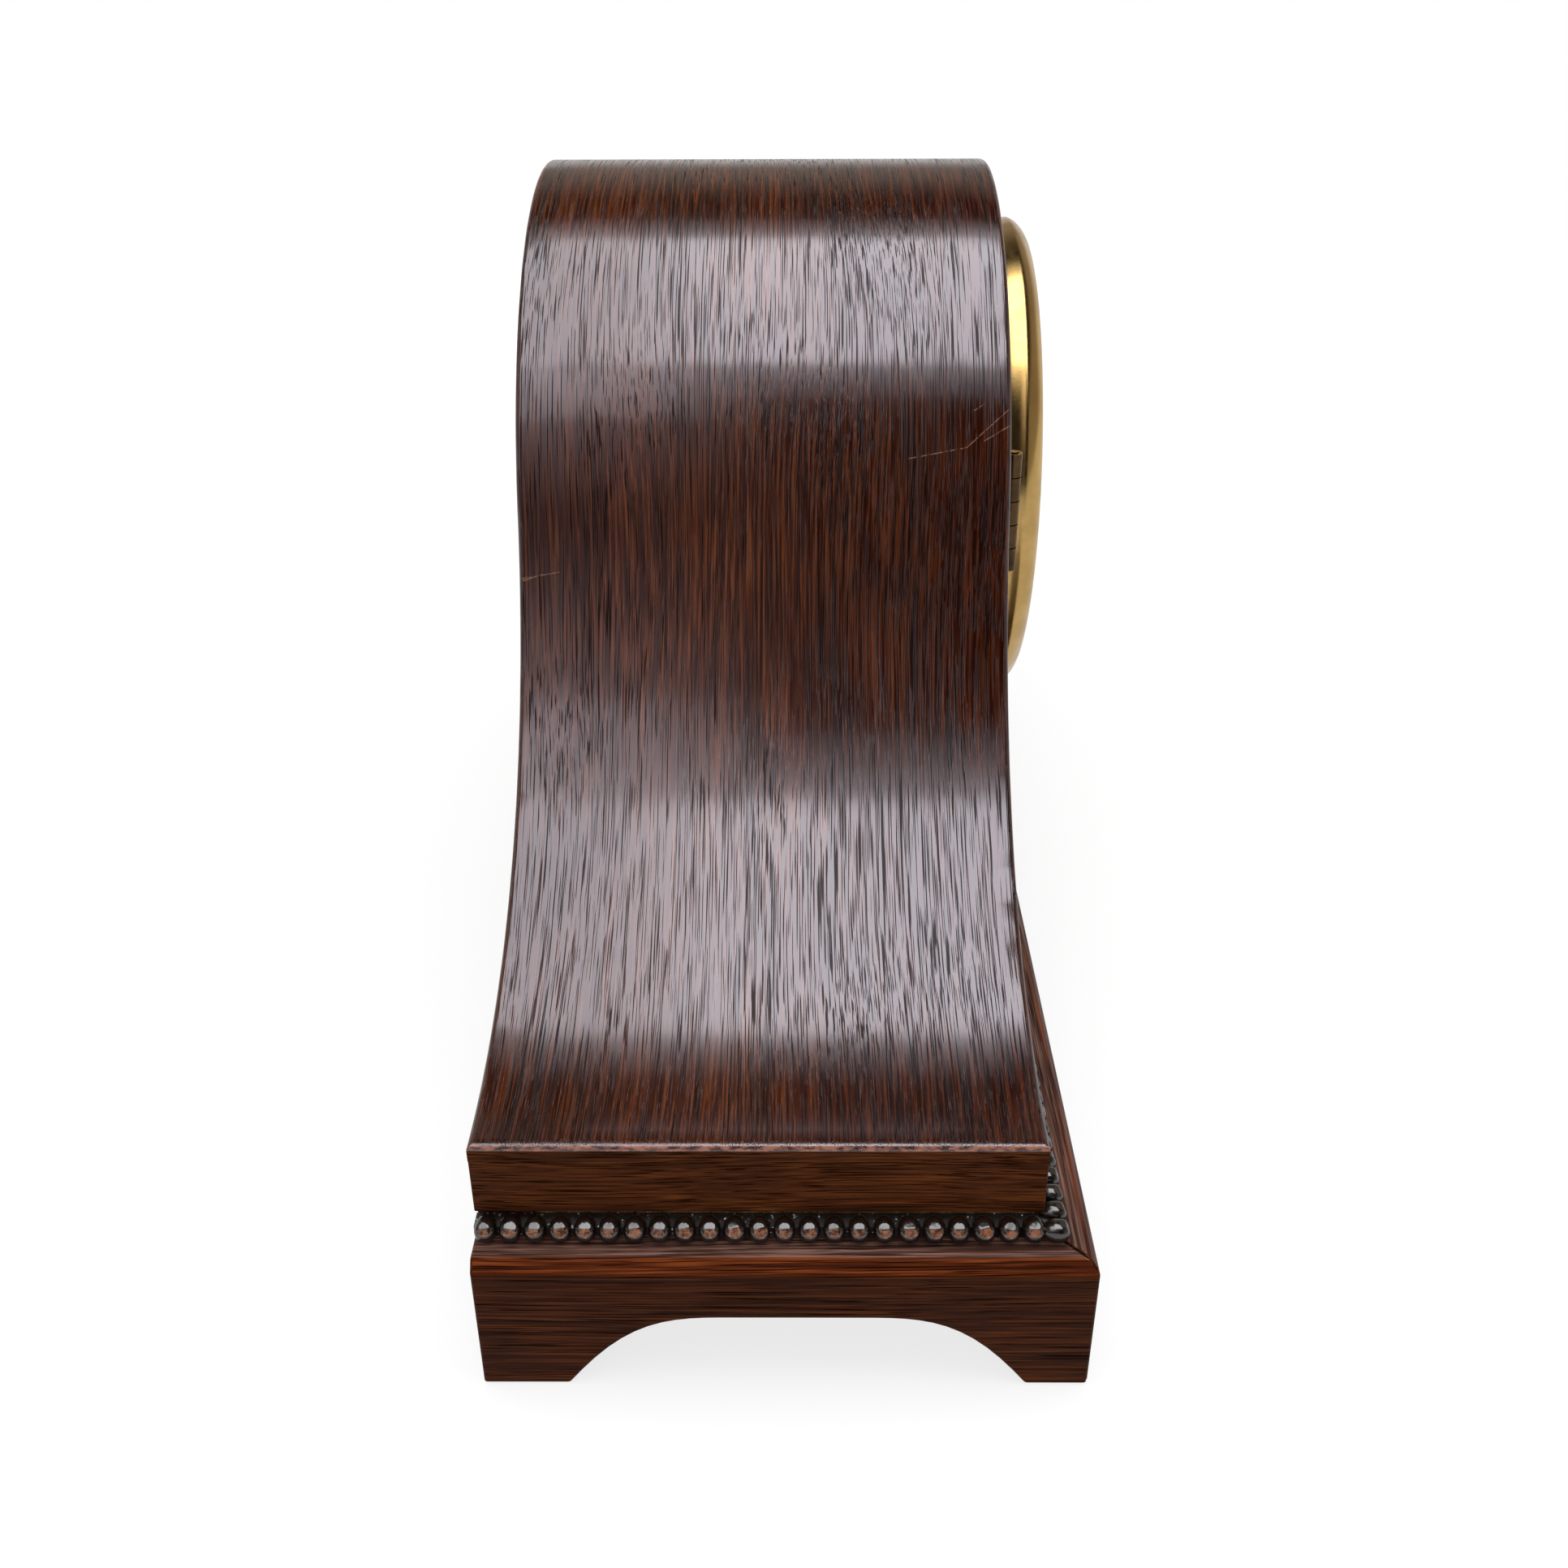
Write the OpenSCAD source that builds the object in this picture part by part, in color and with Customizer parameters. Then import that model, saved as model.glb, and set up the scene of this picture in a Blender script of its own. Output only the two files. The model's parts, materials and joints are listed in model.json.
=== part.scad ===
// Napoleon hat mantel clock: a bent oak case on a beaded plinth, a hinged brass bezel,
// a time and strike movement with pendulum, two gong rods and a rear door.
// The front faces -Y, the length runs along X and Z is up.
// The origin lies on the table under the middle of the clock.

/* [Case] */
// Length of the case above the plinth
case_l = 404; // [396:1:430]
// Depth of the case over its front and back panels
case_d = 115; // [113:1:130]
// Height of the brim above the table
brim_z = 56; // [54:0.5:60]
// Radius of the round head
head_r = 88; // [86:0.5:94]
// Height of the centre of the round head
head_z = 120; // [118:0.5:124]
// Flat lip at each end of the brim
lip_w = 3.7; // [2:0.1:8]
// Thickness of the bent skin
skin_t = 4; // [3:0.5:5]
// Thickness of the front and back panels
panel_t = 9; // [8:0.5:10]
// Thickness of the blocks that close the brim ends
end_block_t = 14; // [10:1:20]
// Thickness of the case floor
floor_t = 7; // [6:0.5:9]

/* [Plinth] */
// Height of the plinth rails
plinth_h = 34; // [32:0.5:38]
// How far the plinth reaches past each end of the case
end_overhang = 9.9; // [9:0.1:12]
// How far the plinth reaches past the front of the case
front_overhang = 10.5; // [9:0.1:12]
// Thickness of the rails
rail_t = 12; // [11:0.5:14]
// Width of the sloped top edge of the rails
slope_w = 2; // [1:0.1:3]
// Height of the sloped top edge of the rails
slope_h = 2.7; // [1.5:0.1:4]
// Thickness of the board that carries the case
plinth_board_t = 10; // [8:0.5:12]
// Height of the bead moulding
bead_h = 4.6; // [4:0.1:6]
// How far the bead moulding stands out from the case
bead_out = 5; // [4:0.1:6]
// Height of the arches cut into the rails
arch_h = 19; // [12:0.5:20]
// Length of each curved shoulder of an arch
shoulder_w = 34; // [25:1:36]
// Width of the front feet seen from the side
front_foot_w = 13; // [12.5:0.5:18]
// Width of the rear feet seen from the side
rear_foot_w = 18; // [14:0.5:22]
// Width of the feet seen from the front
corner_foot_w = 28; // [20:1:40]

/* [Bezel and dial] */
// Height of the dial centre above the centre of the round head
dial_up = 9.5; // [8:0.5:11]
// Outer radius of the bezel
bezel_r = 64; // [63:0.5:68]
// Wall of the bezel
bezel_wall = 2.8; // [2:0.1:3.5]
// Gap between the case and the bezel
bezel_gap = 1.4; // [1.3:0.1:2]
// Straight height of the bezel wall above the case
bezel_wall_h = 6.7; // [6.5:0.1:7.5]
// Height of the rolled edge above the straight wall
bezel_roll_h = 4.2; // [3.5:0.1:5]
// Width of the rolled edge
bezel_roll_w = 5; // [4:0.1:5.5]
// Width of the lip that holds the glass
glass_lip = 2.8; // [2:0.1:3.5]
// Thickness of the glass
glass_t = 1.8; // [1.5:0.1:2]
// Height of the dome of the glass
glass_dome = 6; // [5:0.5:8]
// Width of the dial surround on the front panel, round the opening
surround_lap = 8.5; // [7.5:0.5:12]
// Thickness of the brass dial surround
surround_t = 1; // [0.8:0.1:1.2]
// Thickness of the dial
dial_t = 0.8; // [0.6:0.1:1]
// Radius of the holes over the winding squares
key_hole_r = 4.2; // [3.6:0.1:5]

/* [Hinges and rear door] */
// Length of the bezel hinge
hinge_l = 30; // [26:1:34]
// Radius of the hinge knuckles
knuckle_r = 2; // [1.8:0.1:2.1]
// Radius of the hinge pins
pin_r = 1; // [0.8:0.05:1.1]
// Radius of the rear door and half its width
door_r = 60; // [56:0.5:61]
// Height of the centre of the door's round top
door_z = 126; // [124:0.5:128]
// Height of the lower edge of the door
door_low = 58; // [56:0.5:62]
// Thickness of the rear door
door_t = 6; // [5:0.5:6.5]
// Width of the ledge that the door shuts against
door_ledge = 4; // [3:0.5:6]
// Length of each rear hinge
rear_hinge_l = 16; // [12:0.5:18]
// Length of the turn button
button_l = 22; // [20:0.5:26]

/* [Movement] */
// Width of the movement plates
plate_w = 98; // [96:1:102]
// Lower edge of the plates below the dial centre
plate_low = 36; // [35.5:0.5:38]
// Upper edge of the plates above the dial centre
plate_high = 46; // [45.5:0.5:48]
// Thickness of the plates
plate_t = 1.5; // [1.2:0.1:2]
// Distance between the plates
plate_gap = 32; // [31:0.5:34]
// Thickness of the two straps that hold the movement
strap_t = 1.5; // [1.2:0.1:2]
// Radius of the plate pillars
pillar_r = 3.5; // [3:0.1:3.6]
// Gear module of the great wheels and of the cannon pinion
great_m = 0.5; // [0.48:0.005:0.51]
// Gear module of the smaller wheels
train_m = 0.4; // [0.385:0.005:0.405]
// Radius of the mainspring drums
drum_r = 19.5; // [18:0.1:19.8]
// Radius of the plain arbors
arbor_r = 1.1; // [0.9:0.05:1.2]
// Radius of the pivots at the ends of the arbors
pivot_r = 0.7; // [0.5:0.05:0.8]
// Radius over the teeth of the escape wheel
escape_r = 9.5; // [9:0.1:9.8]
// Distance from the suspension to the middle of the bob
bob_drop = 92; // [84:0.5:94]
// Radius of the pendulum bob
bob_r = 14; // [11:0.5:15]
// Thickness of the pendulum bob
bob_t = 8; // [6:0.5:9]
// Length of the minute hand
minute_l = 46; // [40:0.5:48]
// Length of the hour hand
hour_l = 32; // [26:0.5:36]

/* [Gong] */
// Height of the gong rods above the table
rod_z = 60; // [59:0.5:61]
// Radius of the gong rods
rod_r = 1.6; // [1.2:0.1:2]
// Length of the longer gong rod
rod_l = 212; // [190:1:220]
// Distance between the gong rods
rod_gap = 8; // [7.5:0.1:10]
// Length of the gong block
block_l = 20; // [16:1:24]

/* [Clearances] */
// Gap between fixed wooden or metal parts that fit into each other
fit = 0.1; // [0.05:0.05:0.15]
// Gap between parts that turn or slide on each other
run = 0.15; // [0.12:0.01:0.2]
// Gap round the rear door
door_gap = 0.6; // [0.5:0.05:0.8]
// Gap past the end of a screw in its blind hole
end_gap = 0.5; // [0.3:0.1:0.8]
// Gap beside the moving hinge leaves
leaf_gap = 0.3; // [0.2:0.05:0.4]
// Gap between the pallets and the teeth, and between clicks and ratchets
tooth_gap = 0.45; // [0.4:0.05:0.5]

/* [Hidden] */
$fn = 96;
cut = 1;
oak = "saddlebrown";
dark_oak = [0.33, 0.16, 0.08];
brass = "goldenrod";
steel = "silver";

// Levels of the case along Z
case_z = plinth_h + bead_h;
floor_z = case_z + floor_t;
dial_z = head_z + dial_up;

// Levels of the case along Y, with the whole clock centred on the origin
hinge_off = knuckle_r + 0.2;
back_reach = hinge_off + knuckle_r;
lip_t = 1;
lip_step = 0.6;
glass_edge = bezel_wall_h + bezel_roll_h - lip_t - lip_step;
front_reach = glass_edge + glass_dome;
y_face = -case_d / 2 + (front_reach - back_reach) / 2;
y_back = y_face + case_d;
y_in = y_face + panel_t;
y_back_in = y_back - panel_t;
y_plinth = y_face - front_overhang;
x_plinth = case_l / 2 + end_overhang;

// The hollow sweep touches the brim and the round head without a kink
sweep_x = case_l / 2 - lip_w;
sweep_r = (pow(sweep_x, 2) + pow(head_z - brim_z, 2) - pow(head_r, 2))
        / (2 * (head_r + head_z - brim_z));
touch = [sweep_x, brim_z + sweep_r - head_z] / (head_r + sweep_r);

// The movement is laid out from the dial centre, in X and Z
y_strap = y_in;
y_front_plate = y_strap + strap_t;
y_inside = y_front_plate + plate_t;
y_back_plate = y_inside + plate_gap;
y_behind = y_back_plate + plate_t;
y_dial = y_face - surround_t - dial_t;

// Teeth of the two trains and of the motion work
great_n = 84;
center_pinion_n = 14;
center_n = 84;
third_pinion_n = 7;
third_n = 75;
escape_pinion_n = 6;
escape_n = 40;
pin_pinion_n = 12;
pin_n = 60;
warning_pinion_n = 6;
warning_n = 50;
fly_pinion_n = 6;
cannon_n = 12;
minute_n = 36;
minute_pinion_n = 10;
hour_n = 40;
ratchet_n = 24;
star_n = 8;
star_r = 6;
motion_m = great_m * (cannon_n + minute_n) / (minute_pinion_n + hour_n);

// Places of the arbors
barrel_x = 22;
third_x = 9.5;
pin_x = -31;
warning_x = -22;
fly_x = -27;
p_center = [0, 0];
p_time = [barrel_x, -side(apart(great_n, center_pinion_n, great_m), barrel_x)];
p_strike = [-barrel_x, p_time.y];
p_third = [third_x, side(apart(center_n, third_pinion_n, train_m), third_x)];
p_escape = [0, p_third.y + side(apart(third_n, escape_pinion_n, train_m), third_x)];
pallet_a = 33.75;
pallet_reach = (escape_r + tooth_gap + 1.45) / cos(pallet_a);
anchor_drop = 2.1;
p_anchor = [0, p_escape.y + pallet_reach - anchor_drop];
p_pin = [pin_x, p_strike.y + side(apart(great_n, pin_pinion_n, great_m), pin_x + barrel_x)];
p_warning = [warning_x, p_pin.y + side(apart(pin_n, warning_pinion_n, train_m), warning_x - pin_x)];
p_fly = [fly_x, p_warning.y + side(apart(warning_n, fly_pinion_n, train_m), fly_x - warning_x)];
p_minute = [0, -apart(cannon_n, minute_n, great_m)];
hammer_post_x = -44;
hammer_post_z = -26;
p_hammer = [hammer_post_x, hammer_post_z];
pillar_inset_x = 9;
pillar_inset_z = 6;
pillar_x = plate_w / 2 - pillar_inset_x;
pillar_low = pillar_inset_z - plate_low;
pillar_high = plate_high - pillar_inset_z;

// Straps, with their ends past the plates
strap_reach = 9;
strap_half = plate_w / 2 + strap_reach;
strap_screw_inset = 4;
strap_screw_x = strap_half - strap_screw_inset;
strap_w = 8;

// Angles at which the wheels stand in mesh
time_a = mesh(center_pinion_n, great_n, aim(p_center, p_time), 0);
third_a = mesh(center_n, third_pinion_n, aim(p_center, p_third), 0);
escape_a = mesh(third_n, escape_pinion_n, aim(p_third, p_escape), third_a);
pin_a = mesh(great_n, pin_pinion_n, aim(p_strike, p_pin), 0);
warning_a = mesh(pin_n, warning_pinion_n, aim(p_pin, p_warning), pin_a);
fly_a = mesh(warning_n, fly_pinion_n, aim(p_warning, p_fly), warning_a);
minute_a = mesh(cannon_n, minute_n, aim(p_center, p_minute), 0);
hour_a = mesh(minute_pinion_n, hour_n, aim(p_minute, p_center), minute_a);

// Depths of the wheels behind the inner face of the front plate
great_u = 5;
center_u = 1.5;
third_u = 27;
escape_u = 14;
strike_great_u = 20;
pin_u = 26;
warning_u = 23.5;
fly_u = 6;
arbor_u = 2;
wheel_t = 1.2;
great_t = 2;
drum_l = 14;
pinion_over = 0.6;

// Radii of the studs, winding arbors and posts
stud_r = 1.6;
nut_t = 2.5;
nut_r = 3.2;
winding_r = 3;
post_r = 0.9;
thin_pivot_r = 0.6;
drive_gap = 0.05;
drive_r = arbor_r - drive_gap;

// Ratchets and motion work in front of the front plate
ratchet_r = 8;
ratchet_t = 1.4;
ratchet_out = 2;
y_ratchet = y_front_plate - ratchet_out;
winding_out = 2.6;
minute_out = 2.6;
y_minute_wheel = y_front_plate - minute_out;
minute_pinion_l = 3.6;
post_over = 0.6;
y_minute_post = y_minute_wheel - minute_pinion_l - post_over;
cannon_out = 3.6;
cannon_l = 2.8;
y_cannon = y_front_plate - cannon_out;
hour_out = 5.4;
y_hour_wheel = y_front_plate - hour_out;
click_x = 6;
click_z = 12;

// Hands and their pipes
hand_t = 0.6;
hour_hand_up = 2.6;
minute_hand_up = 1.9;
hour_hand_y = y_dial - hour_hand_up;
minute_hand_y = hour_hand_y - minute_hand_up;
hour_pipe_r = 3.2;
cannon_r = 1.9;
hand_nut_t = 1.5;
hand_nut_r = 2.8;
y_hand_nut = minute_hand_y - hand_nut_t - fit;
center_out = 0.8;
y_center_end = y_hand_nut - center_out;

// Rear parts, measured behind the back plate
crutch_v = 4;
cock_v = 9;
cock_t = 2;
pendulum_v = 16;
rod_v = 25;
hammer_post_over = 7;
hammer_reach = plate_t + rod_v + rod_gap + hammer_post_over;
y_rod = y_behind + rod_v;
y_pendulum = y_behind + pendulum_v;

// Pendulum rod, its nut and the suspension spring
pendulum_r = 1.2;
rod_top = 11;
rod_tail = 7;
rating_nut_r = 3.5;
rating_nut_t = 3;
rating_gap = 0.2;
spring_t = 0.3;
spring_w = 4;
spring_gap = 0.3;
spring_in = 3;
chop = [3, 5, 3.2];

// Gong block, and the hammers beside it
block_x = -128;
block_wall = 4;
block_over = 6;
block_foot_w = 40;
foot_h = 4;
gong_screw_y = 15;
floor_left = 1.5;
gong_grip = floor_t - floor_left;
rod_step = 18;
head_drop = p_hammer.y + dial_z - rod_z;
hammer_gap = 16;
hammer_x = block_x + block_l + hammer_gap;

// Screws
screw_r = 1.5;
screw_head_r = 3;
screw_head_h = 1.5;
small_screw_r = 0.7;
small_head_r = 1.2;
small_head_h = 0.7;
button_screw_r = 1.2;
slot_w = 0.7;
slot_d = 0.8;
small_slot = 0.3;
strap_screw_l = 6;
plinth_screw_in = 44;
plinth_screw_front = 22;
plinth_screw_rear = 12;
plinth_screw_x = case_l / 2 - plinth_screw_in;
plinth_screw_ys = [y_in + plinth_screw_front, y_back_in - plinth_screw_rear];
countersink = 3;

// Dial, its surround and their screws
head_gap = 0.25;
screw_ring = bezel_r - bezel_wall - small_head_r - head_gap;
dial_r = screw_ring - small_head_r - head_gap;
surround_in = 1.5;
surround_r = bezel_r - surround_in;
dial_hole_r = surround_r - surround_lap;
surround_w = 4;
hinge_up = 8;
leaf_screw_off = 5;
leaf_screw_as = [for (s = [-1, 1]) 180 - asin((hinge_up + s * leaf_screw_off) / screw_ring)];
surround_screw_as = concat([40, 140, 270], leaf_screw_as);
center_hole_r = 5;
lip_r = bezel_r - bezel_roll_w - glass_lip;
glass_seat = 1.5;
glass_r = lip_r + glass_seat;

// Hinge of the bezel
hinge_x = -bezel_r - knuckle_r - leaf_gap;
hinge_z = dial_z + hinge_up;
hinge_stand = 0.5;
hinge_y = y_face - knuckle_r - hinge_stand;
knuckles = 5;
leaf_over = 3;
leaf_x = leaf_over - screw_ring;

// Hinges of the rear door
door_hinge_x = -door_r;
door_hinge_y = y_back + hinge_off;
low_hinge_up = 14;
high_hinge_down = 6;
door_hinge_zs = [door_low + low_hinge_up, door_z - rear_hinge_l - high_hinge_down];
leaf_t = 1;
rear_leaf_w = 9;
finger_r = 8;
finger_in = 20;
finger_down = 18;
finger_x = door_r - finger_in;
finger_z = door_z - finger_down;
button_out = 7;
button_up = 44;
button_x = door_r + button_out;
button_z = door_low + button_up;
button_t = 2;
button_w = 7;
button_gap = 0.3;

// Distance between the centres of two meshing gears
function apart(na, nb, m) = (na + nb) * m / 2;

// The other side of a right triangle
function side(long, short) = sqrt(long * long - short * short);

// Direction from one arbor to another
function aim(a, b) = atan2(b.y - a.y, b.x - a.x);

// Angle at which gear b stands in mesh with gear a
function mesh(na, nb, direction, phase) =
    direction + 180 - (phase - direction) * na / nb + 180 / nb;

// Half of a tooth from root to tip, as steps of [height in modules, share of the pitch]
wheel_tooth = [[-1.25, 0.225], [0, 0.225], [0.95, 0.07]];
pinion_tooth = [[-1.45, 0.15], [0, 0.15], [0.75, 0.05]];

// Place of the click on either side
function click_place(s) = [s * (barrel_x + click_x), p_time.y + click_z];

// Outline of a gear, tooth by tooth
function gear(n, m, tooth) = [for (i = [0:n - 1]) for (k = [0:2 * len(tooth) - 1])
    let (up = k < len(tooth),
         step = up ? tooth[k] : tooth[2 * len(tooth) - 1 - k],
         r = n * m / 2 + step.x * m,
         a = 360 / n * (i + (up ? -1 : 1) * step.y))
    [r * cos(a), r * sin(a)]];

// Outline of a wheel with slanted teeth, for ratchets and the escape wheel
function slanted(n, tip, root, lean) = [for (i = [0:n - 1]) for (k = [0:2])
    let (r = k == 1 ? tip : root, a = 360 / n * (i + [-0.35, lean, 0.35][k]))
    [r * cos(a), r * sin(a)]];

// Points of an arc
function arc(r, a0, a1, steps) = [for (i = [0:steps])
    let (a = a0 + (a1 - a0) * i / steps) [r * cos(a), r * sin(a)]];

// A flat shape in X and Z, thickened from y towards the back
module slab(y, t) {
    translate([0, y + t, 0]) rotate([90, 0, 0]) linear_extrude(t) children();
}

// A flat shape placed on an arbor of the movement
module on(p, y, t, a = 0) {
    translate([p.x, 0, dial_z + p.y]) slab(y, t) rotate(a) children();
}

// A round bar along Y on an arbor of the movement
module bar(p, y, t, r) {
    translate([p.x, y, dial_z + p.y]) rotate([-90, 0, 0]) cylinder(r = r, h = t);
}

// A round bar along Y in the case
module peg(x, y, z, t, r) {
    translate([x, y, z]) rotate([-90, 0, 0]) cylinder(r = r, h = t);
}

// An arbor with a pivot at each end, from one depth to another inside the plates
module arbor(p, r = arbor_r) {
    bar(p, y_inside + run, plate_gap - 2 * run, r);
    bar(p, y_front_plate, plate_gap + 2 * plate_t, pivot_r);
}

// Side view of the case, shrunk by an inset
module hat(inset, grow = 0) {
    half = case_l / 2 + grow;
    tx = (head_r - inset) * touch.x;
    tz = head_z + (head_r - inset) * touch.y;
    top = brim_z - inset;
    difference() {
        union() {
            intersection() {
                translate([0, head_z]) circle(r = head_r - inset);
                translate([-half, case_z - grow]) square([2 * half, head_z + head_r]);
            }
            polygon([[-half, case_z - grow], [half, case_z - grow], [half, top], [sweep_x, top],
                [tx, tz], [-tx, tz], [-sweep_x, top], [-half, top]]);
        }
        for (s = [-1, 1]) translate([s * sweep_x, brim_z + sweep_r]) circle(r = sweep_r + inset);
    }
}

// Side view of the space inside the skin, out to a half length from the middle
module inner_hat(half) {
    intersection() {
        hat(skin_t + fit);
        translate([-half, 0]) square([2 * half, head_z + head_r]);
    }
}

// Outline of the rear door with round top
module door_shape(r, low) {
    translate([0, door_z]) circle(r = r);
    translate([-r, low]) square([2 * r, door_z - low]);
}

module top_skin() {
    color(oak) slab(y_face, case_d) difference() {
        hat(0);
        hat(skin_t, cut);
    }
}

module front_panel() {
    color(oak) difference() {
        slab(y_face, panel_t) inner_hat(case_l / 2 - end_block_t - fit);
        peg(0, y_face - cut, dial_z, panel_t + 2 * cut, dial_hole_r);
        surround_screw_places() peg(0, y_face - cut, 0, panel_t - cut, small_screw_r + fit);
        strap_screw_places()
            peg(0, y_in - strap_screw_l - end_gap, 0, strap_screw_l + end_gap + cut, screw_r + fit);
    }
}

module back_panel() {
    y_ledge = y_back - door_t - door_gap / 2;
    color(oak) difference() {
        slab(y_back_in, panel_t) inner_hat(case_l / 2 - end_block_t - fit);
        slab(y_ledge, panel_t) door_shape(door_r, door_low);
        slab(y_back_in - cut, panel_t) door_shape(door_r - door_ledge, door_low + door_ledge);
        peg(button_x, y_back_in - cut, button_z, panel_t + 2 * cut, button_screw_r + fit);
    }
}

module end_blocks() {
    color(dark_oak) slab(y_face, case_d) for (s = [0, 1]) mirror([s, 0]) intersection() {
        hat(skin_t + fit);
        translate([case_l / 2 - end_block_t, 0]) square([end_block_t, brim_z]);
    }
}

module case_floor() {
    half = case_l / 2 - end_block_t - fit;
    color(oak) difference() {
        translate([-half, y_in + fit, case_z])
            cube([2 * half, case_d - 2 * panel_t - 2 * fit, floor_t]);
        plinth_screw_places() translate([0, 0, case_z - cut]) cylinder(r = screw_r + fit, h = floor_t);
        gong_screw_places() translate([0, 0, floor_z - gong_grip - end_gap])
            cylinder(r = screw_r + fit, h = floor_t);
    }
}

module plinth_board() {
    half = x_plinth - rail_t - fit;
    depth = y_back - y_plinth - 2 * rail_t - 2 * fit;
    color(dark_oak) difference() {
        translate([-half, y_plinth + rail_t + fit, case_z - plinth_board_t])
            cube([2 * half, depth, plinth_board_t]);
        plinth_screw_places() translate([0, 0, case_z - plinth_board_t - cut]) {
            cylinder(r = screw_r + fit, h = plinth_board_t + 2 * cut);
            cylinder(r = screw_head_r + fit, h = countersink + cut);
        }
    }
}

// Shape of an arch along a rail, from one foot to the other
module arch(from, to) {
    steps = 12;
    rise = [for (i = [0:steps]) let (t = i / steps)
        [shoulder_w * t, arch_h * sin(90 * (1 - pow(1 - t, 1.6)))]];
    polygon(concat([[from, -cut]], [for (p = rise) [from + p.x, p.y]],
        [for (i = [steps:-1:0]) [to - rise[i].x, rise[i].y]], [[to, -cut]]));
}

// Section of a rail, from its inner face to its outer face
module rail_section() {
    polygon([[0, 0], [rail_t, 0], [rail_t, plinth_h - slope_h], [rail_t - slope_w, plinth_h],
        [0, plinth_h]]);
}

// Plan of a side rail with its front end cut at 45 degrees
module side_rail() {
    difference() {
        intersection() {
            translate([x_plinth - rail_t, y_back, 0]) rotate([90, 0, 0])
                linear_extrude(y_back - y_plinth) rail_section();
            linear_extrude(plinth_h) polygon([[x_plinth, y_plinth], [x_plinth, y_back],
                [x_plinth - rail_t, y_back], [x_plinth - rail_t, y_plinth + rail_t]]);
        }
        translate([x_plinth - rail_t - cut, 0, 0]) rotate([90, 0, 90])
            linear_extrude(rail_t + 2 * cut) arch(y_plinth + front_foot_w, y_back - rear_foot_w);
    }
}

module left_rail() {
    color(dark_oak) mirror([1, 0, 0]) side_rail();
}

module right_rail() {
    color(dark_oak) side_rail();
}

module front_rail() {
    foot = x_plinth - corner_foot_w;
    color(dark_oak) difference() {
        intersection() {
            translate([-x_plinth, y_plinth + rail_t, 0]) rotate([90, 0, 90])
                linear_extrude(2 * x_plinth) mirror([1, 0]) rail_section();
            linear_extrude(plinth_h) polygon([[-x_plinth, y_plinth], [x_plinth, y_plinth],
                [x_plinth - rail_t, y_plinth + rail_t], [rail_t - x_plinth, y_plinth + rail_t]]);
        }
        slab(y_plinth - cut, rail_t + 2 * cut) arch(-foot, foot);
    }
}

module back_rail() {
    half = x_plinth - rail_t - fit;
    foot = x_plinth - corner_foot_w;
    color(dark_oak) slab(y_back - rail_t, rail_t) difference() {
        translate([-half, 0]) square([2 * half, case_z]);
        arch(-foot, foot);
    }
}

// Section of the bead moulding, with its rounded outer edge
module bead_section(w) {
    r = bead_h / 2;
    translate([w - r, r]) circle(r = r);
    square([w - r, bead_h]);
}

module end_bead_strip() {
    x_in = x_plinth - rail_t;
    w = case_l / 2 + bead_out - x_in;
    front = y_face - bead_out;
    color(dark_oak) intersection() {
        translate([x_in, y_back, plinth_h]) rotate([90, 0, 0])
            linear_extrude(y_back - front) bead_section(w);
        translate([0, 0, plinth_h]) linear_extrude(bead_h) polygon([[x_in + w, front],
            [x_in + w, y_back], [x_in, y_back], [x_in, front + w]]);
    }
}

module end_bead_strips() {
    end_bead_strip();
    mirror([1, 0, 0]) end_bead_strip();
}

module front_bead_strip() {
    front = y_face - bead_out;
    w = y_plinth + rail_t - front;
    half = case_l / 2 + bead_out;
    color(dark_oak) intersection() {
        translate([-half, front + w, plinth_h]) rotate([90, 0, 90])
            linear_extrude(2 * half) mirror([1, 0]) bead_section(w);
        translate([0, 0, plinth_h]) linear_extrude(bead_h) polygon([[-half, front],
            [half, front], [half - w, front + w], [w - half, front + w]]);
    }
}

module plinth_screw_places() {
    for (x = [-plinth_screw_x, plinth_screw_x]) for (y = plinth_screw_ys)
        translate([x, y, 0]) children();
}

module plinth_screws() {
    low = case_z - plinth_board_t + end_gap;
    color(steel) plinth_screw_places() difference() {
        translate([0, 0, low]) {
            cylinder(r1 = screw_head_r, r2 = screw_r, h = countersink - end_gap);
            cylinder(r = screw_r, h = plinth_board_t + floor_t - countersink);
        }
        translate([-screw_head_r - cut, -slot_w / 2, low - cut])
            cube([2 * screw_head_r + 2 * cut, slot_w, slot_d + cut]);
    }
}

// Places of the screws of the dial surround and of the bezel hinge
module surround_screw_places() {
    for (a = surround_screw_as)
        translate([screw_ring * cos(a), 0, dial_z + screw_ring * sin(a)]) children();
}

// Holes of those screws through the surround and the leaf
module surround_screw_holes() {
    surround_screw_places()
        peg(0, y_face - surround_t - cut, 0, surround_t + 2 * cut, small_screw_r + fit);
}

module dial_surround() {
    color(brass) difference() {
        peg(0, y_face - surround_t, dial_z, surround_t, surround_r);
        peg(0, y_face - surround_t - cut, dial_z, surround_t + 2 * cut, dial_hole_r - surround_w);
        translate([hinge_x, y_face - surround_t - cut, hinge_z - hinge_l / 2 - fit])
            cube([leaf_x - hinge_x + fit, surround_t + 2 * cut, hinge_l + 2 * fit]);
        surround_screw_holes();
    }
}

module dial_plate() {
    color("ivory") difference() {
        peg(0, y_dial, dial_z, dial_t, dial_r);
        peg(0, y_dial - cut, dial_z, dial_t + 2 * cut, center_hole_r);
        bar(p_time, y_dial - cut, dial_t + 2 * cut, key_hole_r);
        bar(p_strike, y_dial - cut, dial_t + 2 * cut, key_hole_r);
    }
}

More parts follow.
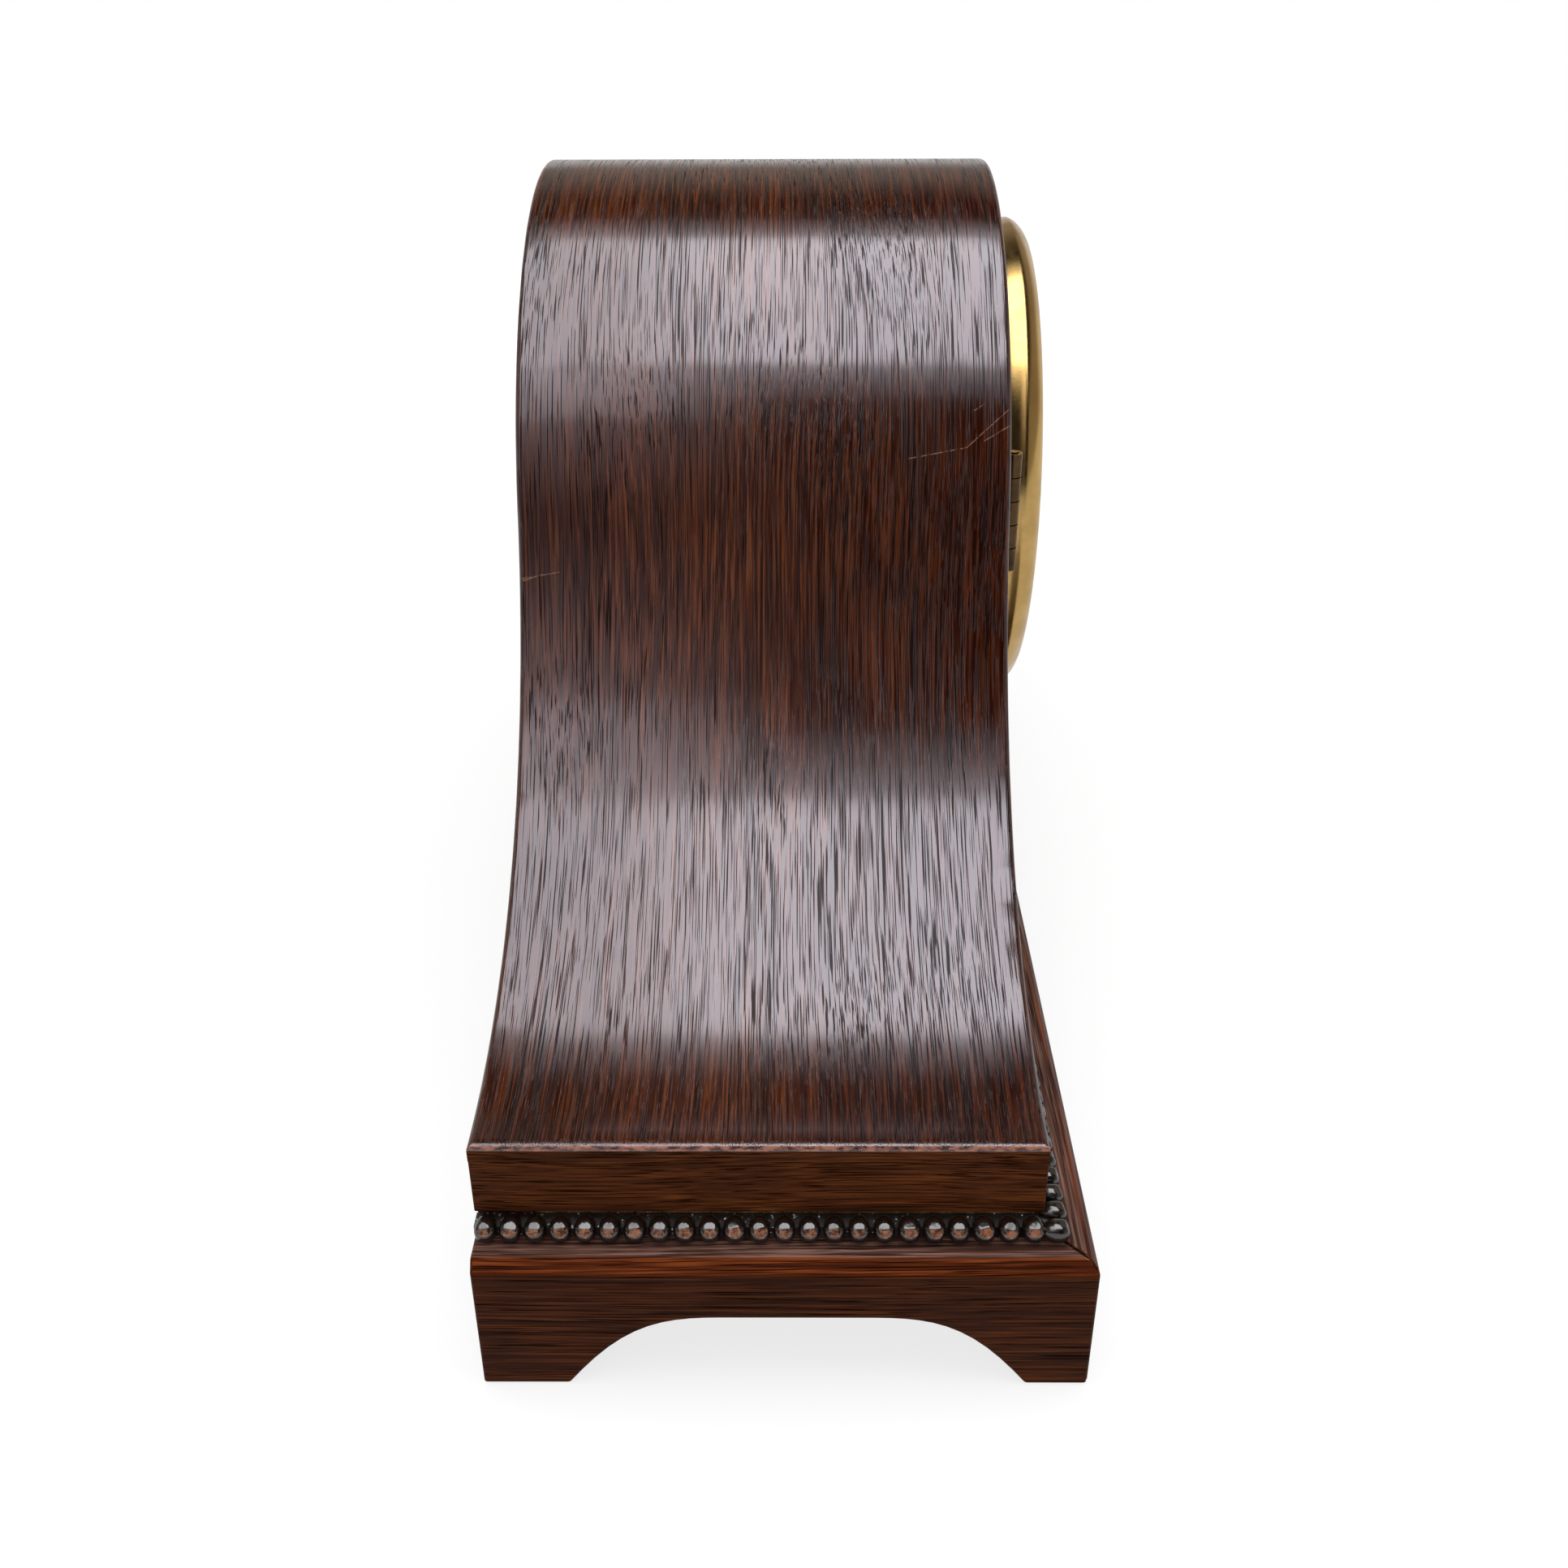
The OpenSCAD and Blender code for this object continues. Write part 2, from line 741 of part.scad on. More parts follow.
module brass_screws() {
    y_head = y_face - surround_t - small_head_h;
    y_cap = y_back + button_gap + button_t + run;
    cap_t = 1.2;
    color(brass) {
        surround_screw_places() difference() {
            union() {
                peg(0, y_face - surround_t, 0, surround_t + panel_t - countersink, small_screw_r);
                peg(0, y_head, 0, small_head_h, small_head_r);
            }
            translate([-small_head_r - cut, y_head - cut, -small_slot / 2])
                cube([2 * small_head_r + 2 * cut, small_slot + cut, small_slot]);
        }
        difference() {
            union() {
                peg(button_x, y_back_in + screw_r, button_z, panel_t + button_t, button_screw_r);
                peg(button_x, y_cap, button_z, cap_t, screw_head_r);
            }
            translate([button_x - screw_head_r - cut, y_cap + cap_t - slot_d / 2,
                    button_z - slot_w / 2])
                cube([2 * screw_head_r + 2 * cut, slot_d, slot_w]);
        }
    }
}

// One knuckle of a hinge along Z
module knuckle(x, y, z, l) {
    translate([x, y, z]) cylinder(r = knuckle_r, h = l);
}

// Bore of a hinge knuckle
module knuckle_bore(x, y, z, l, gap) {
    translate([x, y, z - cut]) cylinder(r = pin_r + gap, h = l + 2 * cut);
}

module bezel_hinge_fixed_leaf() {
    step = hinge_l / knuckles;
    low = hinge_z - hinge_l / 2;
    color(brass) difference() {
        union() {
            translate([hinge_x, y_face - surround_t, low]) cube([leaf_x - hinge_x, surround_t, hinge_l]);
            for (i = [0, 2, 4]) knuckle(hinge_x, hinge_y, low + i * step, step - leaf_gap);
        }
        for (i = [1, 3]) translate([hinge_x - cut, hinge_y - cut - knuckle_r, low + i * step - leaf_gap])
            cube([knuckle_r + leaf_gap + cut, 2 * knuckle_r + 2 * cut, step + leaf_gap]);
        knuckle_bore(hinge_x, hinge_y, low, hinge_l, run);
        surround_screw_holes();
    }
}

module bezel_hinge_moving_leaf() {
    step = hinge_l / knuckles;
    low = hinge_z - hinge_l / 2;
    tongue_t = 1.4;
    tongue_in = 1.6;
    wall_x = -bezel_r * cos(asin((hinge_up + hinge_l / 2) / bezel_r));
    color(brass) difference() {
        for (i = [1, 3]) {
            knuckle(hinge_x, hinge_y, low + i * step, step - leaf_gap);
            translate([hinge_x, hinge_y - tongue_in, low + i * step])
                cube([wall_x - hinge_x, tongue_t, step - leaf_gap]);
        }
        knuckle_bore(hinge_x, hinge_y, low, hinge_l, run);
        peg(0, y_face - bezel_r, dial_z, bezel_r, bezel_r + fit / 2);
    }
}

module hinge_pins() {
    color(brass) {
        translate([hinge_x, hinge_y, hinge_z - hinge_l / 2]) cylinder(r = pin_r, h = hinge_l);
        for (z = door_hinge_zs) translate([door_hinge_x, door_hinge_y, z])
            cylinder(r = pin_r, h = rear_hinge_l);
    }
}

// Section of the bezel as [radius, height above the case]
function bezel_outline() = concat(
    [[bezel_r - bezel_wall, bezel_gap], [bezel_r, bezel_gap]],
    [for (p = arc(1, 0, 90, 8))
        [bezel_r - bezel_roll_w + bezel_roll_w * p.x, bezel_wall_h + bezel_roll_h * p.y]],
    [[lip_r + lip_t, glass_edge + 1.3 * lip_t], [lip_r, glass_edge + 0.6 * lip_t],
     [lip_r, glass_edge + fit], [glass_r + fit, glass_edge + fit], [glass_r + fit, glass_edge - glass_t],
     [bezel_r - bezel_wall, glass_edge - glass_t]]);

// Turn a section given as [radius, height above the case] round the dial axis
module turned(outline) {
    translate([0, y_face, dial_z]) rotate([90, 0, 0]) rotate_extrude() polygon(outline);
}

module bezel_ring() {
    tab_l = 8;
    tab_out = 4;
    tab_t = 1.2;
    tab_up = 1.8;
    root = 0.6;
    color(brass) {
        turned(bezel_outline());
        translate([bezel_r - root, y_face - bezel_gap - tab_up - tab_t, dial_z - tab_l / 2])
            cube([tab_out + root, tab_t, tab_l]);
    }
}

// Height of the glass dome over its edge at a share of its radius
function dome(share) = glass_dome * (1 - share * share);

module bezel_glass() {
    steps = 10;
    dome_r = lip_r - lip_t * 0.3;
    outer = concat([for (i = [0:steps]) [dome_r * i / steps, glass_edge + dome(i / steps)]],
        [[glass_r, glass_edge]]);
    inner = [for (i = [steps + 1:-1:0]) outer[i] - [0, glass_t]];
    color([0.9, 0.95, 0.95, 0.4]) turned(concat(outer, inner));
}

module glass_retaining_ring() {
    top = glass_edge - glass_t;
    low = top - lip_t;
    r_out = bezel_r - bezel_wall - fit;
    color(brass) turned([[lip_r, low], [r_out, low], [r_out, top], [lip_r, top]]);
}

module rear_door() {
    color(oak) difference() {
        slab(y_back - door_t, door_t) door_shape(door_r - door_gap, door_low + door_gap);
        peg(finger_x, y_back - door_t - cut, finger_z, door_t + 2 * cut, finger_r);
    }
}

module rear_hinge_fixed_leaves() {
    step = rear_hinge_l / 3;
    color(brass) for (z = door_hinge_zs) difference() {
        union() {
            translate([door_hinge_x - rear_leaf_w, y_back, z]) cube([rear_leaf_w, leaf_t, rear_hinge_l]);
            for (i = [0, 2]) knuckle(door_hinge_x, door_hinge_y, z + i * step, step - leaf_gap / 2);
        }
        translate([door_hinge_x - knuckle_r - leaf_gap, y_back - cut, z + step - leaf_gap / 2])
            cube([3 * knuckle_r, 3 * knuckle_r, step + leaf_gap / 2]);
        knuckle_bore(door_hinge_x, door_hinge_y, z, rear_hinge_l, run);
    }
}

module rear_hinge_door_leaves() {
    step = rear_hinge_l / 3;
    color(brass) for (z = door_hinge_zs) difference() {
        union() {
            translate([door_hinge_x + knuckle_r + leaf_gap, y_back, z])
                cube([rear_leaf_w - leaf_t, leaf_t, rear_hinge_l]);
            translate([door_hinge_x, y_back, z + step + leaf_gap / 2])
                cube([knuckle_r + leaf_t, leaf_t, step - leaf_gap]);
            knuckle(door_hinge_x, door_hinge_y, z + step + leaf_gap / 2, step - leaf_gap);
        }
        knuckle_bore(door_hinge_x, door_hinge_y, z, rear_hinge_l, run);
    }
}

module turn_button() {
    w = button_w;
    color(brass) difference() {
        translate([button_x, 0, button_z]) slab(y_back + button_gap, button_t) {
            translate([-w / 2, w / 2 - button_l / 2]) square([w, button_l - w]);
            for (s = [-1, 1]) translate([0, s * (button_l - w) / 2]) circle(r = w / 2);
        }
        peg(button_x, y_back, button_z, button_t + cut, button_screw_r + run);
    }
}

// Places of the four pillars and of the holes for their ends
module pillar_places() {
    for (x = [-pillar_x, pillar_x]) for (z = [pillar_low, pillar_high])
        translate([x, 0, dial_z + z]) children();
}

// Outline of a movement plate with holes for the pillars and pivots
module plate_shape() {
    difference() {
        translate([-plate_w / 2, -plate_low]) square([plate_w, plate_low + plate_high]);
        for (p = [p_third, p_escape, p_fly, p_warning]) translate(p) circle(r = pivot_r + run);
        for (x = [-pillar_x, pillar_x]) for (z = [pillar_low, pillar_high])
            translate([x, z]) circle(r = stud_r + fit);
    }
}

// Front plate with the riveted posts of the minute wheel and of the two clicks
module front_plate() {
    rivet_t = 0.5;
    rivet_over = 0.7;
    color(brass) {
        on(p_center, y_front_plate, plate_t) difference() {
            plate_shape();
            circle(r = arbor_r + run);
            for (p = [p_time, p_strike]) translate(p) circle(r = winding_r + run);
            for (p = [p_anchor, p_pin]) translate(p) circle(r = pivot_r + run);
        }
        bar(p_minute, y_minute_post, y_front_plate - y_minute_post, post_r);
        for (s = [-1, 1]) {
            bar(click_place(s), y_ratchet - run, y_front_plate - y_ratchet + run, post_r);
            bar(click_place(s), y_ratchet - run - rivet_t, rivet_t, post_r + rivet_over);
        }
    }
}

module back_plate() {
    anchor_hole_r = 4;
    color(brass) on(p_center, y_back_plate, plate_t) difference() {
        plate_shape();
        circle(r = pivot_r + run);
        for (p = [p_time, p_strike]) translate(p) circle(r = winding_r + run);
        translate(p_anchor) circle(r = anchor_hole_r);
        translate(p_pin) circle(r = arbor_r + run);
        translate(p_hammer) circle(r = arbor_r + fit);
    }
}

module plate_pillars() {
    stud_l = strap_t + plate_t + plate_gap + plate_t + nut_t + cut;
    color(brass) pillar_places() {
        peg(0, y_inside, 0, plate_gap, pillar_r);
        peg(0, y_strap, 0, stud_l, stud_r);
    }
    color(brass) bar(p_hammer, y_back_plate, hammer_reach, arbor_r);
}

module pillar_nuts() {
    color(steel) pillar_places() difference() {
        slab(y_behind, nut_t) circle(r = nut_r, $fn = 6);
        peg(0, y_behind - cut, 0, nut_t + 2 * cut, stud_r + fit);
    }
}

module strap_screw_places() {
    for (x = [-1, 1]) for (z = [pillar_low, pillar_high])
        translate([x * strap_screw_x, 0, dial_z + z]) children();
}

module movement_straps() {
    color(steel) difference() {
        for (z = [pillar_low, pillar_high]) translate([0, 0, dial_z + z]) slab(y_strap, strap_t)
            translate([-strap_half, -strap_w / 2]) square([2 * strap_half, strap_w]);
        pillar_places() peg(0, y_strap - cut, 0, strap_t + 2 * cut, stud_r + fit);
        strap_screw_places() peg(0, y_strap - cut, 0, strap_t + 2 * cut, screw_r + fit);
    }
}

module gong_screw_places() {
    for (s = [-1, 1])
        translate([block_x + block_l / 2, y_rod + rod_gap / 2 + s * gong_screw_y, 0]) children();
}

module mounting_screws() {
    color(steel) {
        strap_screw_places() {
            peg(0, y_in - strap_screw_l, 0, strap_screw_l + strap_t, screw_r);
            peg(0, y_in + strap_t, 0, screw_head_h, screw_head_r);
        }
        gong_screw_places() {
            translate([0, 0, floor_z - gong_grip]) cylinder(r = screw_r, h = gong_grip + foot_h);
            translate([0, 0, floor_z + foot_h]) cylinder(r = screw_head_r, h = screw_head_h);
        }
    }
}

// The cock stands behind the back plate, carries the rear pivot of the anchor
// and holds the suspension spring in a slot
module pendulum_cock() {
    post_x = 9;
    leg_r = 2.4;
    edge = 3;
    rise = 4.5;
    end_wall = 0.6;
    slot_l = spring_w + 0.4;
    slot_x = spring_t + 2 * spring_gap;
    y_cock = y_behind + cock_v;
    color(brass) difference() {
        union() {
            on(p_anchor, y_cock, cock_t) translate([-post_x - edge, -edge])
                square([2 * (post_x + edge), edge + rise]);
            for (s = [-1, 1]) bar([s * post_x, p_anchor.y], y_behind, cock_v, leg_r);
            translate([-edge, y_cock, dial_z + p_anchor.y])
                cube([2 * edge, pendulum_v - cock_v + edge, rise]);
        }
        bar(p_anchor, y_cock - cut, cock_t + cut - end_wall, pivot_r + run);
        translate([-slot_x / 2, y_pendulum - slot_l / 2, dial_z + p_anchor.y - cut])
            cube([slot_x, slot_l, rise]);
    }
}

module gong_block() {
    side_wall = 5;
    color("dimgray") difference() {
        union() {
            translate([block_x, y_rod - side_wall, floor_z])
                cube([block_l, rod_gap + 2 * side_wall, rod_z + block_over - floor_z]);
            translate([block_x, y_rod + rod_gap / 2 - block_foot_w / 2, floor_z])
                cube([block_l, block_foot_w, foot_h]);
        }
        for (i = [0, 1]) translate([block_x + block_wall, y_rod + i * rod_gap, rod_z])
            rotate([0, 90, 0]) cylinder(r = rod_r + fit, h = block_l);
        gong_screw_places() translate([0, 0, floor_z - cut])
            cylinder(r = screw_r + fit, h = foot_h + 2 * cut);
    }
}

module gong_rods() {
    color(steel) for (i = [0, 1]) translate([block_x + block_wall, y_rod + i * rod_gap, rod_z])
        rotate([0, 90, 0]) cylinder(r = rod_r, h = rod_l - rod_step * i);
}

// Outline of a spade hand that points up
module hand_shape(l, w, hub) {
    steps = 8;
    spade = [for (i = [0:steps]) let (t = i / steps)
        [w * sin(180 * t) * (1 - 0.45 * t), l * (0.66 + 0.2 * t)]];
    circle(r = hub);
    polygon(concat([[-w * 0.32, 0], [w * 0.32, 0], [w * 0.2, l * 0.66]], spade, [[0, l]],
        [for (i = [steps:-1:0]) [-spade[i].x - 0.001, spade[i].y]], [[-w * 0.2, l * 0.66]]));
}

module hour_hand() {
    hour_w = 4.2;
    two = -60;
    color("black") on(p_center, hour_hand_y, hand_t, two) difference() {
        hand_shape(hour_l, hour_w, center_hole_r);
        circle(r = hour_pipe_r + fit / 2);
    }
}

module hour_wheel() {
    y = y_hour_wheel;
    pipe_over = 0.4;
    color(brass) difference() {
        union() {
            on(p_center, y, wheel_t, hour_a) polygon(gear(hour_n, motion_m, wheel_tooth));
            bar(p_center, hour_hand_y - pipe_over, y - hour_hand_y + pipe_over, hour_pipe_r);
        }
        bar(p_center, hour_hand_y - cut, y - hour_hand_y + 2 * cut + wheel_t, cannon_r + run);
    }
}

module minute_hand() {
    minute_w = 3.6;
    hub_r = 4;
    color("black") on(p_center, minute_hand_y, hand_t) difference() {
        hand_shape(minute_l, minute_w, hub_r);
        circle(r = cannon_r + fit / 2);
    }
}

module hand_nut() {
    color(brass) difference() {
        bar(p_center, y_hand_nut, hand_nut_t, hand_nut_r);
        bar(p_center, y_hand_nut - cut, hand_nut_t + 2 * cut, arbor_r + fit);
    }
}

module cannon_pinion() {
    y = y_cannon;
    color(steel) difference() {
        union() {
            on(p_center, y, cannon_l) polygon(gear(cannon_n, great_m, pinion_tooth));
            bar(p_center, minute_hand_y - fit, y - minute_hand_y + fit, cannon_r);
        }
        bar(p_center, minute_hand_y - cut, y - minute_hand_y + 2 * cut + cannon_l, arbor_r + run);
    }
}

module minute_wheel() {
    y = y_minute_wheel;
    l = minute_pinion_l;
    color(brass) difference() {
        union() {
            on(p_minute, y, wheel_t, minute_a) polygon(gear(minute_n, great_m, wheel_tooth));
            on(p_minute, y - l, l, minute_a) polygon(gear(minute_pinion_n, motion_m, pinion_tooth));
        }
        bar(p_minute, y - l - cut, l + wheel_t + 2 * cut, post_r + run);
    }
}

// Drum with its great wheel and a bore for the winding arbor
module barrel(p, wheel_u, drum_u, phase) {
    lid_t = 1.2;
    drum_wall = 1;
    color(brass) difference() {
        union() {
            on(p, y_inside + wheel_u, great_t, phase) polygon(gear(great_n, great_m, wheel_tooth));
            bar(p, y_inside + drum_u, drum_l, drum_r);
        }
        bar(p, y_inside + drum_u + lid_t, drum_l - 2 * lid_t, drum_r - drum_wall);
        bar(p, y_inside - cut, plate_gap + 2 * cut, winding_r + run);
    }
}

module time_barrel() {
    barrel(p_time, great_u, great_u + great_t, time_a);
}

module strike_barrel() {
    barrel(p_strike, strike_great_u, strike_great_u - drum_l, 0);
}

// Winding arbor with its square, ratchet wheel and the hub of the mainspring
module winding_arbor(p) {
    square_r = 2.9;
    square_over = 0.7;
    y_square = y_dial - square_over;
    y_start = y_front_plate - winding_out;
    hub_u = 9;
    hub_l = 8;
    hub_r = 5;
    tooth_h = 1.2;
    color(steel) {
        bar(p, y_start, winding_out + plate_gap + 2 * plate_t, winding_r);
        bar(p, y_inside + hub_u, hub_l, hub_r);
        on(p, y_square, y_start - y_square, 45) circle(r = square_r, $fn = 4);
        on(p, y_ratchet, ratchet_t)
            polygon(slanted(ratchet_n, ratchet_r, ratchet_r - tooth_h, -0.3));
    }
}

module time_winding_arbor() {
    winding_arbor(p_time);
}

module strike_winding_arbor() {
    winding_arbor(p_strike);
}

// Click that drops into the ratchet wheel, on its own screw
module click(s) {
    c = click_place(s);
    p = s > 0 ? p_time : p_strike;
    nose = norm(c - p) - ratchet_r - tooth_gap;
    eye_r = 2;
    color(steel) difference() {
        on(c, y_ratchet, ratchet_t, aim(c, p)) {
            circle(r = eye_r);
            polygon([[0, -0.9 * eye_r], [nose, -0.45 * eye_r], [nose, 0.25 * eye_r], [0, 0.9 * eye_r]]);
        }
        bar(c, y_ratchet - cut, ratchet_t + 2 * cut, post_r + run);
    }
}

module time_click() {
    click(1);
}

module strike_click() {
    click(-1);
}

// Windows that leave four spokes in a wheel
module crossings(r_in, r_out) {
    spokes = 4;
    for (i = [0:spokes - 1]) rotate(i * 360 / spokes + 45) difference() {
        polygon(concat([[r_in, 0]], arc(r_out, -36, 36, 12)));
        circle(r = r_in);
    }
}

// Wheel with spokes
module spoked(n, m) {
    hub_r = 3;
    rim_w = 2.2;
    difference() {
        polygon(gear(n, m, wheel_tooth));
        crossings(hub_r, n * m / 2 - rim_w);
    }
}

module center_wheel() {
    pinion_end = great_u + great_t + cut;
    color(brass) {
        on(p_center, y_inside + center_u, wheel_t) spoked(center_n, train_m);
        on(p_center, y_inside + center_u + wheel_t, pinion_end - center_u - wheel_t)
            polygon(gear(center_pinion_n, great_m, pinion_tooth));
        bar(p_center, y_inside + run, plate_gap - 2 * run, arbor_r);
        bar(p_center, y_back_plate - cut, plate_t + cut, pivot_r);
        bar(p_center, y_center_end, y_inside + cut - y_center_end, drive_r);
    }
}

module third_wheel() {
    color(brass) {
        on(p_third, y_inside + third_u, wheel_t, third_a) spoked(third_n, train_m);
        pinion(p_third, center_u, third_pinion_n, third_a);
        thin_arbor(p_third, center_u + wheel_t + pinion_over, third_u);
    }
}

// Small pinion that stands a little past both faces of the wheel at that depth
module pinion(p, u, n, phase) {
    on(p, y_inside + u - pinion_over, wheel_t + 2 * pinion_over, phase)
        polygon(gear(n, train_m, pinion_tooth));
}

// Arbor that is thin where it carries a small pinion
module thin_arbor(p, from, to) {
    bar(p, y_front_plate, plate_gap + 2 * plate_t, thin_pivot_r);
    bar(p, y_inside + from, to - from, arbor_r);
}

module escape_wheel() {
    tooth_h = 1.5;
    rim_w = 2.8;
    hub_r = 2.5;
    color(brass) {
        on(p_escape, y_inside + escape_u, wheel_t, escape_a) difference() {
            polygon(slanted(escape_n, escape_r, escape_r - tooth_h, -0.2));
            crossings(hub_r, escape_r - rim_w);
        }
        pinion(p_escape, third_u, escape_pinion_n, escape_a);
        thin_arbor(p_escape, arbor_u, third_u - pinion_over);
    }
}

// Anchor, its arbor and the crutch that drives the pendulum
module anchor() {
    r_in = escape_r + tooth_gap;
    half_a = pallet_a + 5;
    steps = 16;
    over = 0.4;
    body_w = 3;
    relief = 1;
    y_crutch = y_behind + crutch_v;
    crutch_l = 30;
    crutch_t = 1.4;
    crutch_w = 2.4;
    collet_r = 2.8;
    yoke_x = pendulum_r + run;
    yoke_t = 1.2;
    yoke_h = 2.5;
    yoke_z = -crutch_l - 1;
    color(steel) {
        difference() {
            on(p_escape, y_inside + escape_u - over, wheel_t + 2 * over)
                polygon(concat(arc(r_in + body_w, 90 - half_a, 90 + half_a, steps),
                    [for (i = [steps:-1:0]) let (a = 90 - half_a + 2 * half_a * i / steps,
                        r = r_in + ((i == 0 || i == steps) ? 0 : relief)) [r * cos(a), r * sin(a)]]));
            bar(p_anchor, y_inside, plate_gap, arbor_r);
        }
        bar(p_anchor, y_inside + arbor_u, y_crutch + crutch_t + fit - y_inside - arbor_u, arbor_r);
        bar(p_anchor, y_front_plate, plate_t + arbor_u + cut, pivot_r);
        bar(p_anchor, y_crutch, cock_v - crutch_v + 1, pivot_r);
        on(p_anchor, y_crutch, crutch_t) {
            circle(r = collet_r);
            translate([-crutch_w / 2, -crutch_l]) square([crutch_w, crutch_l]);
            translate([-yoke_x - yoke_t, yoke_z]) square([2 * (yoke_x + yoke_t), yoke_h]);
        }
        for (x = [yoke_x, -yoke_x - yoke_t])
            translate([x, y_crutch, dial_z + p_anchor.y + yoke_z])
                cube([yoke_t, pendulum_v - crutch_v + body_w, yoke_h]);
    }
}

// The spring hangs in the cock; brass chops join it to the rod
module suspension_spring() {
    z = dial_z + p_anchor.y - rod_top;
    color(steel) {
        translate([-spring_t / 2, y_pendulum - spring_w / 2, z + spring_in])
            cube([spring_t, spring_w, rod_top]);
        translate([-chop.x / 2, y_pendulum - chop.y / 2, z]) cube(chop);
    }
}

module pendulum_rod() {
    drop = bob_drop + bob_r + rod_tail;
    color(steel) translate([0, y_pendulum, dial_z + p_anchor.y - drop])
        cylinder(r = pendulum_r, h = drop - rod_top);
}

module pendulum_bob() {
    z = dial_z + p_anchor.y - bob_drop;
    edge = 3;
    color(brass) difference() {
        translate([0, y_pendulum + bob_t / 2, z]) rotate([90, 0, 0]) rotate_extrude()
            polygon([[0, 0], [bob_r - edge, 0], [bob_r, bob_t * 0.4], [bob_r, bob_t * 0.6],
                [bob_r - edge, bob_t], [0, bob_t]]);
        translate([0, y_pendulum, z - bob_r - cut])
            cylinder(r = pendulum_r + run, h = 2 * bob_r + 2 * cut);
    }
}

module rating_nut() {
    z = dial_z + p_anchor.y - bob_drop - bob_r - rating_nut_t - rating_gap;
    color(brass) translate([0, y_pendulum, z]) difference() {
        cylinder(r = rating_nut_r, h = rating_nut_t);
        translate([0, 0, -cut]) cylinder(r = pendulum_r + run, h = rating_nut_t + 2 * cut);
    }
}

module pin_wheel() {
    over = 0.5;
    star_t = 2;
    star_root = 3.6;
    tail = 3;
    color(brass) {
        on(p_pin, y_inside + pin_u, wheel_t, pin_a) spoked(pin_n, train_m);
        on(p_pin, y_inside + strike_great_u - over, great_t + 2 * over, pin_a)
            polygon(gear(pin_pinion_n, great_m, pinion_tooth));
        bar(p_pin, y_inside + run, plate_gap + plate_t + rod_v + rod_gap + tail, arbor_r);
        bar(p_pin, y_front_plate, plate_t + cut, pivot_r);
        for (i = [0, 1]) on(p_pin, y_rod + i * rod_gap - star_t / 2, star_t, i * 180 / star_n)
            polygon(slanted(star_n, star_r, star_root, 0.2));
    }
}

module warning_wheel() {
    color(brass) {
        on(p_warning, y_inside + warning_u, wheel_t, warning_a) spoked(warning_n, train_m);
        pinion(p_warning, pin_u, warning_pinion_n, warning_a);
        thin_arbor(p_warning, arbor_u, warning_u);
    }
}

// Fly that brakes the strike train in the air
module strike_fly() {
    blade_w = 7.5;
    blade_l = 12;
    blade_t = 0.8;
    color(brass) {
        pinion(p_fly, warning_u, fly_pinion_n, fly_a);
        thin_arbor(p_fly, arbor_u, warning_u - pinion_over);
        on(p_fly, y_inside + fly_u, blade_l) translate([-blade_w, -blade_t / 2])
            square([2 * blade_w, blade_t]);
    }
}

// Hammer i: hub and lifting tail on the hammer rod, wire arm and tipped head
module hammer(i) {
    y = y_rod + i * rod_gap;
    rest_gap = 1.2;
    hub_r = 3;
    hub_l = 6;
    tail_gap = 1.2;
    tail_t = 1.4;
    tail_w = 2;
    arm_w = 1.6;
    tip_r = 1.6;
    tip_h = 3;
    peen_r = 3;
    peen_l = 8;
    sunk = 0.5;
    h = [hammer_x - p_hammer.x, rod_r + rest_gap - head_drop];
    arm = h + [0, tip_h + peen_r];
    tail = norm(p_pin - p_hammer) - star_r - tail_gap;
    color(steel) {
        difference() {
            union() {
                bar(p_hammer, y - hub_l / 2, hub_l, hub_r);
                on(p_hammer, y - tail_t / 2, tail_t, aim(p_hammer, p_pin))
                    translate([0, -tail_w / 2]) square([tail, tail_w]);
                on(p_hammer, y - arm_w / 2, arm_w, atan2(arm.y, arm.x))
                    translate([0, -arm_w / 2]) square([norm(arm), arm_w]);
            }
            bar(p_hammer, y - hub_l / 2 - cut, hub_l + 2 * cut, arbor_r + run);
        }
        translate([p_hammer.x + h.x, y, dial_z + p_hammer.y + h.y]) {
            cylinder(r = tip_r, h = tip_h);
            translate([0, 0, tip_h - sunk]) cylinder(r = peen_r, h = peen_l);
        }
    }
}

module front_hammer() {
    hammer(0);
}

module rear_hammer() {
    hammer(1);
}

top_skin();
front_panel();
back_panel();
end_blocks();
case_floor();
plinth_board();
front_rail();
left_rail();
right_rail();
back_rail();
front_bead_strip();
end_bead_strips();
plinth_screws();
dial_surround();
dial_plate();
brass_screws();
bezel_hinge_fixed_leaf();
bezel_hinge_moving_leaf();
hinge_pins();
bezel_ring();
bezel_glass();
glass_retaining_ring();
rear_door();
rear_hinge_fixed_leaves();
rear_hinge_door_leaves();
turn_button();
front_plate();
back_plate();
plate_pillars();
pillar_nuts();
movement_straps();
mounting_screws();
pendulum_cock();
gong_block();
gong_rods();
minute_hand();
hand_nut();
cannon_pinion();
hour_hand();
hour_wheel();
minute_wheel();
time_barrel();
time_winding_arbor();
time_click();
center_wheel();
third_wheel();
escape_wheel();
anchor();
suspension_spring();
pendulum_rod();
pendulum_bob();
rating_nut();
strike_barrel();
strike_winding_arbor();
strike_click();
pin_wheel();
warning_wheel();
strike_fly();
front_hammer();
rear_hammer();
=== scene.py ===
"""Looks of the napoleon hat clock: veneered oak case, beaded plinth, brass bezel, dial and movement."""

import json
import math

import bmesh
import bpy
from mathutils import Matrix, Vector, noise


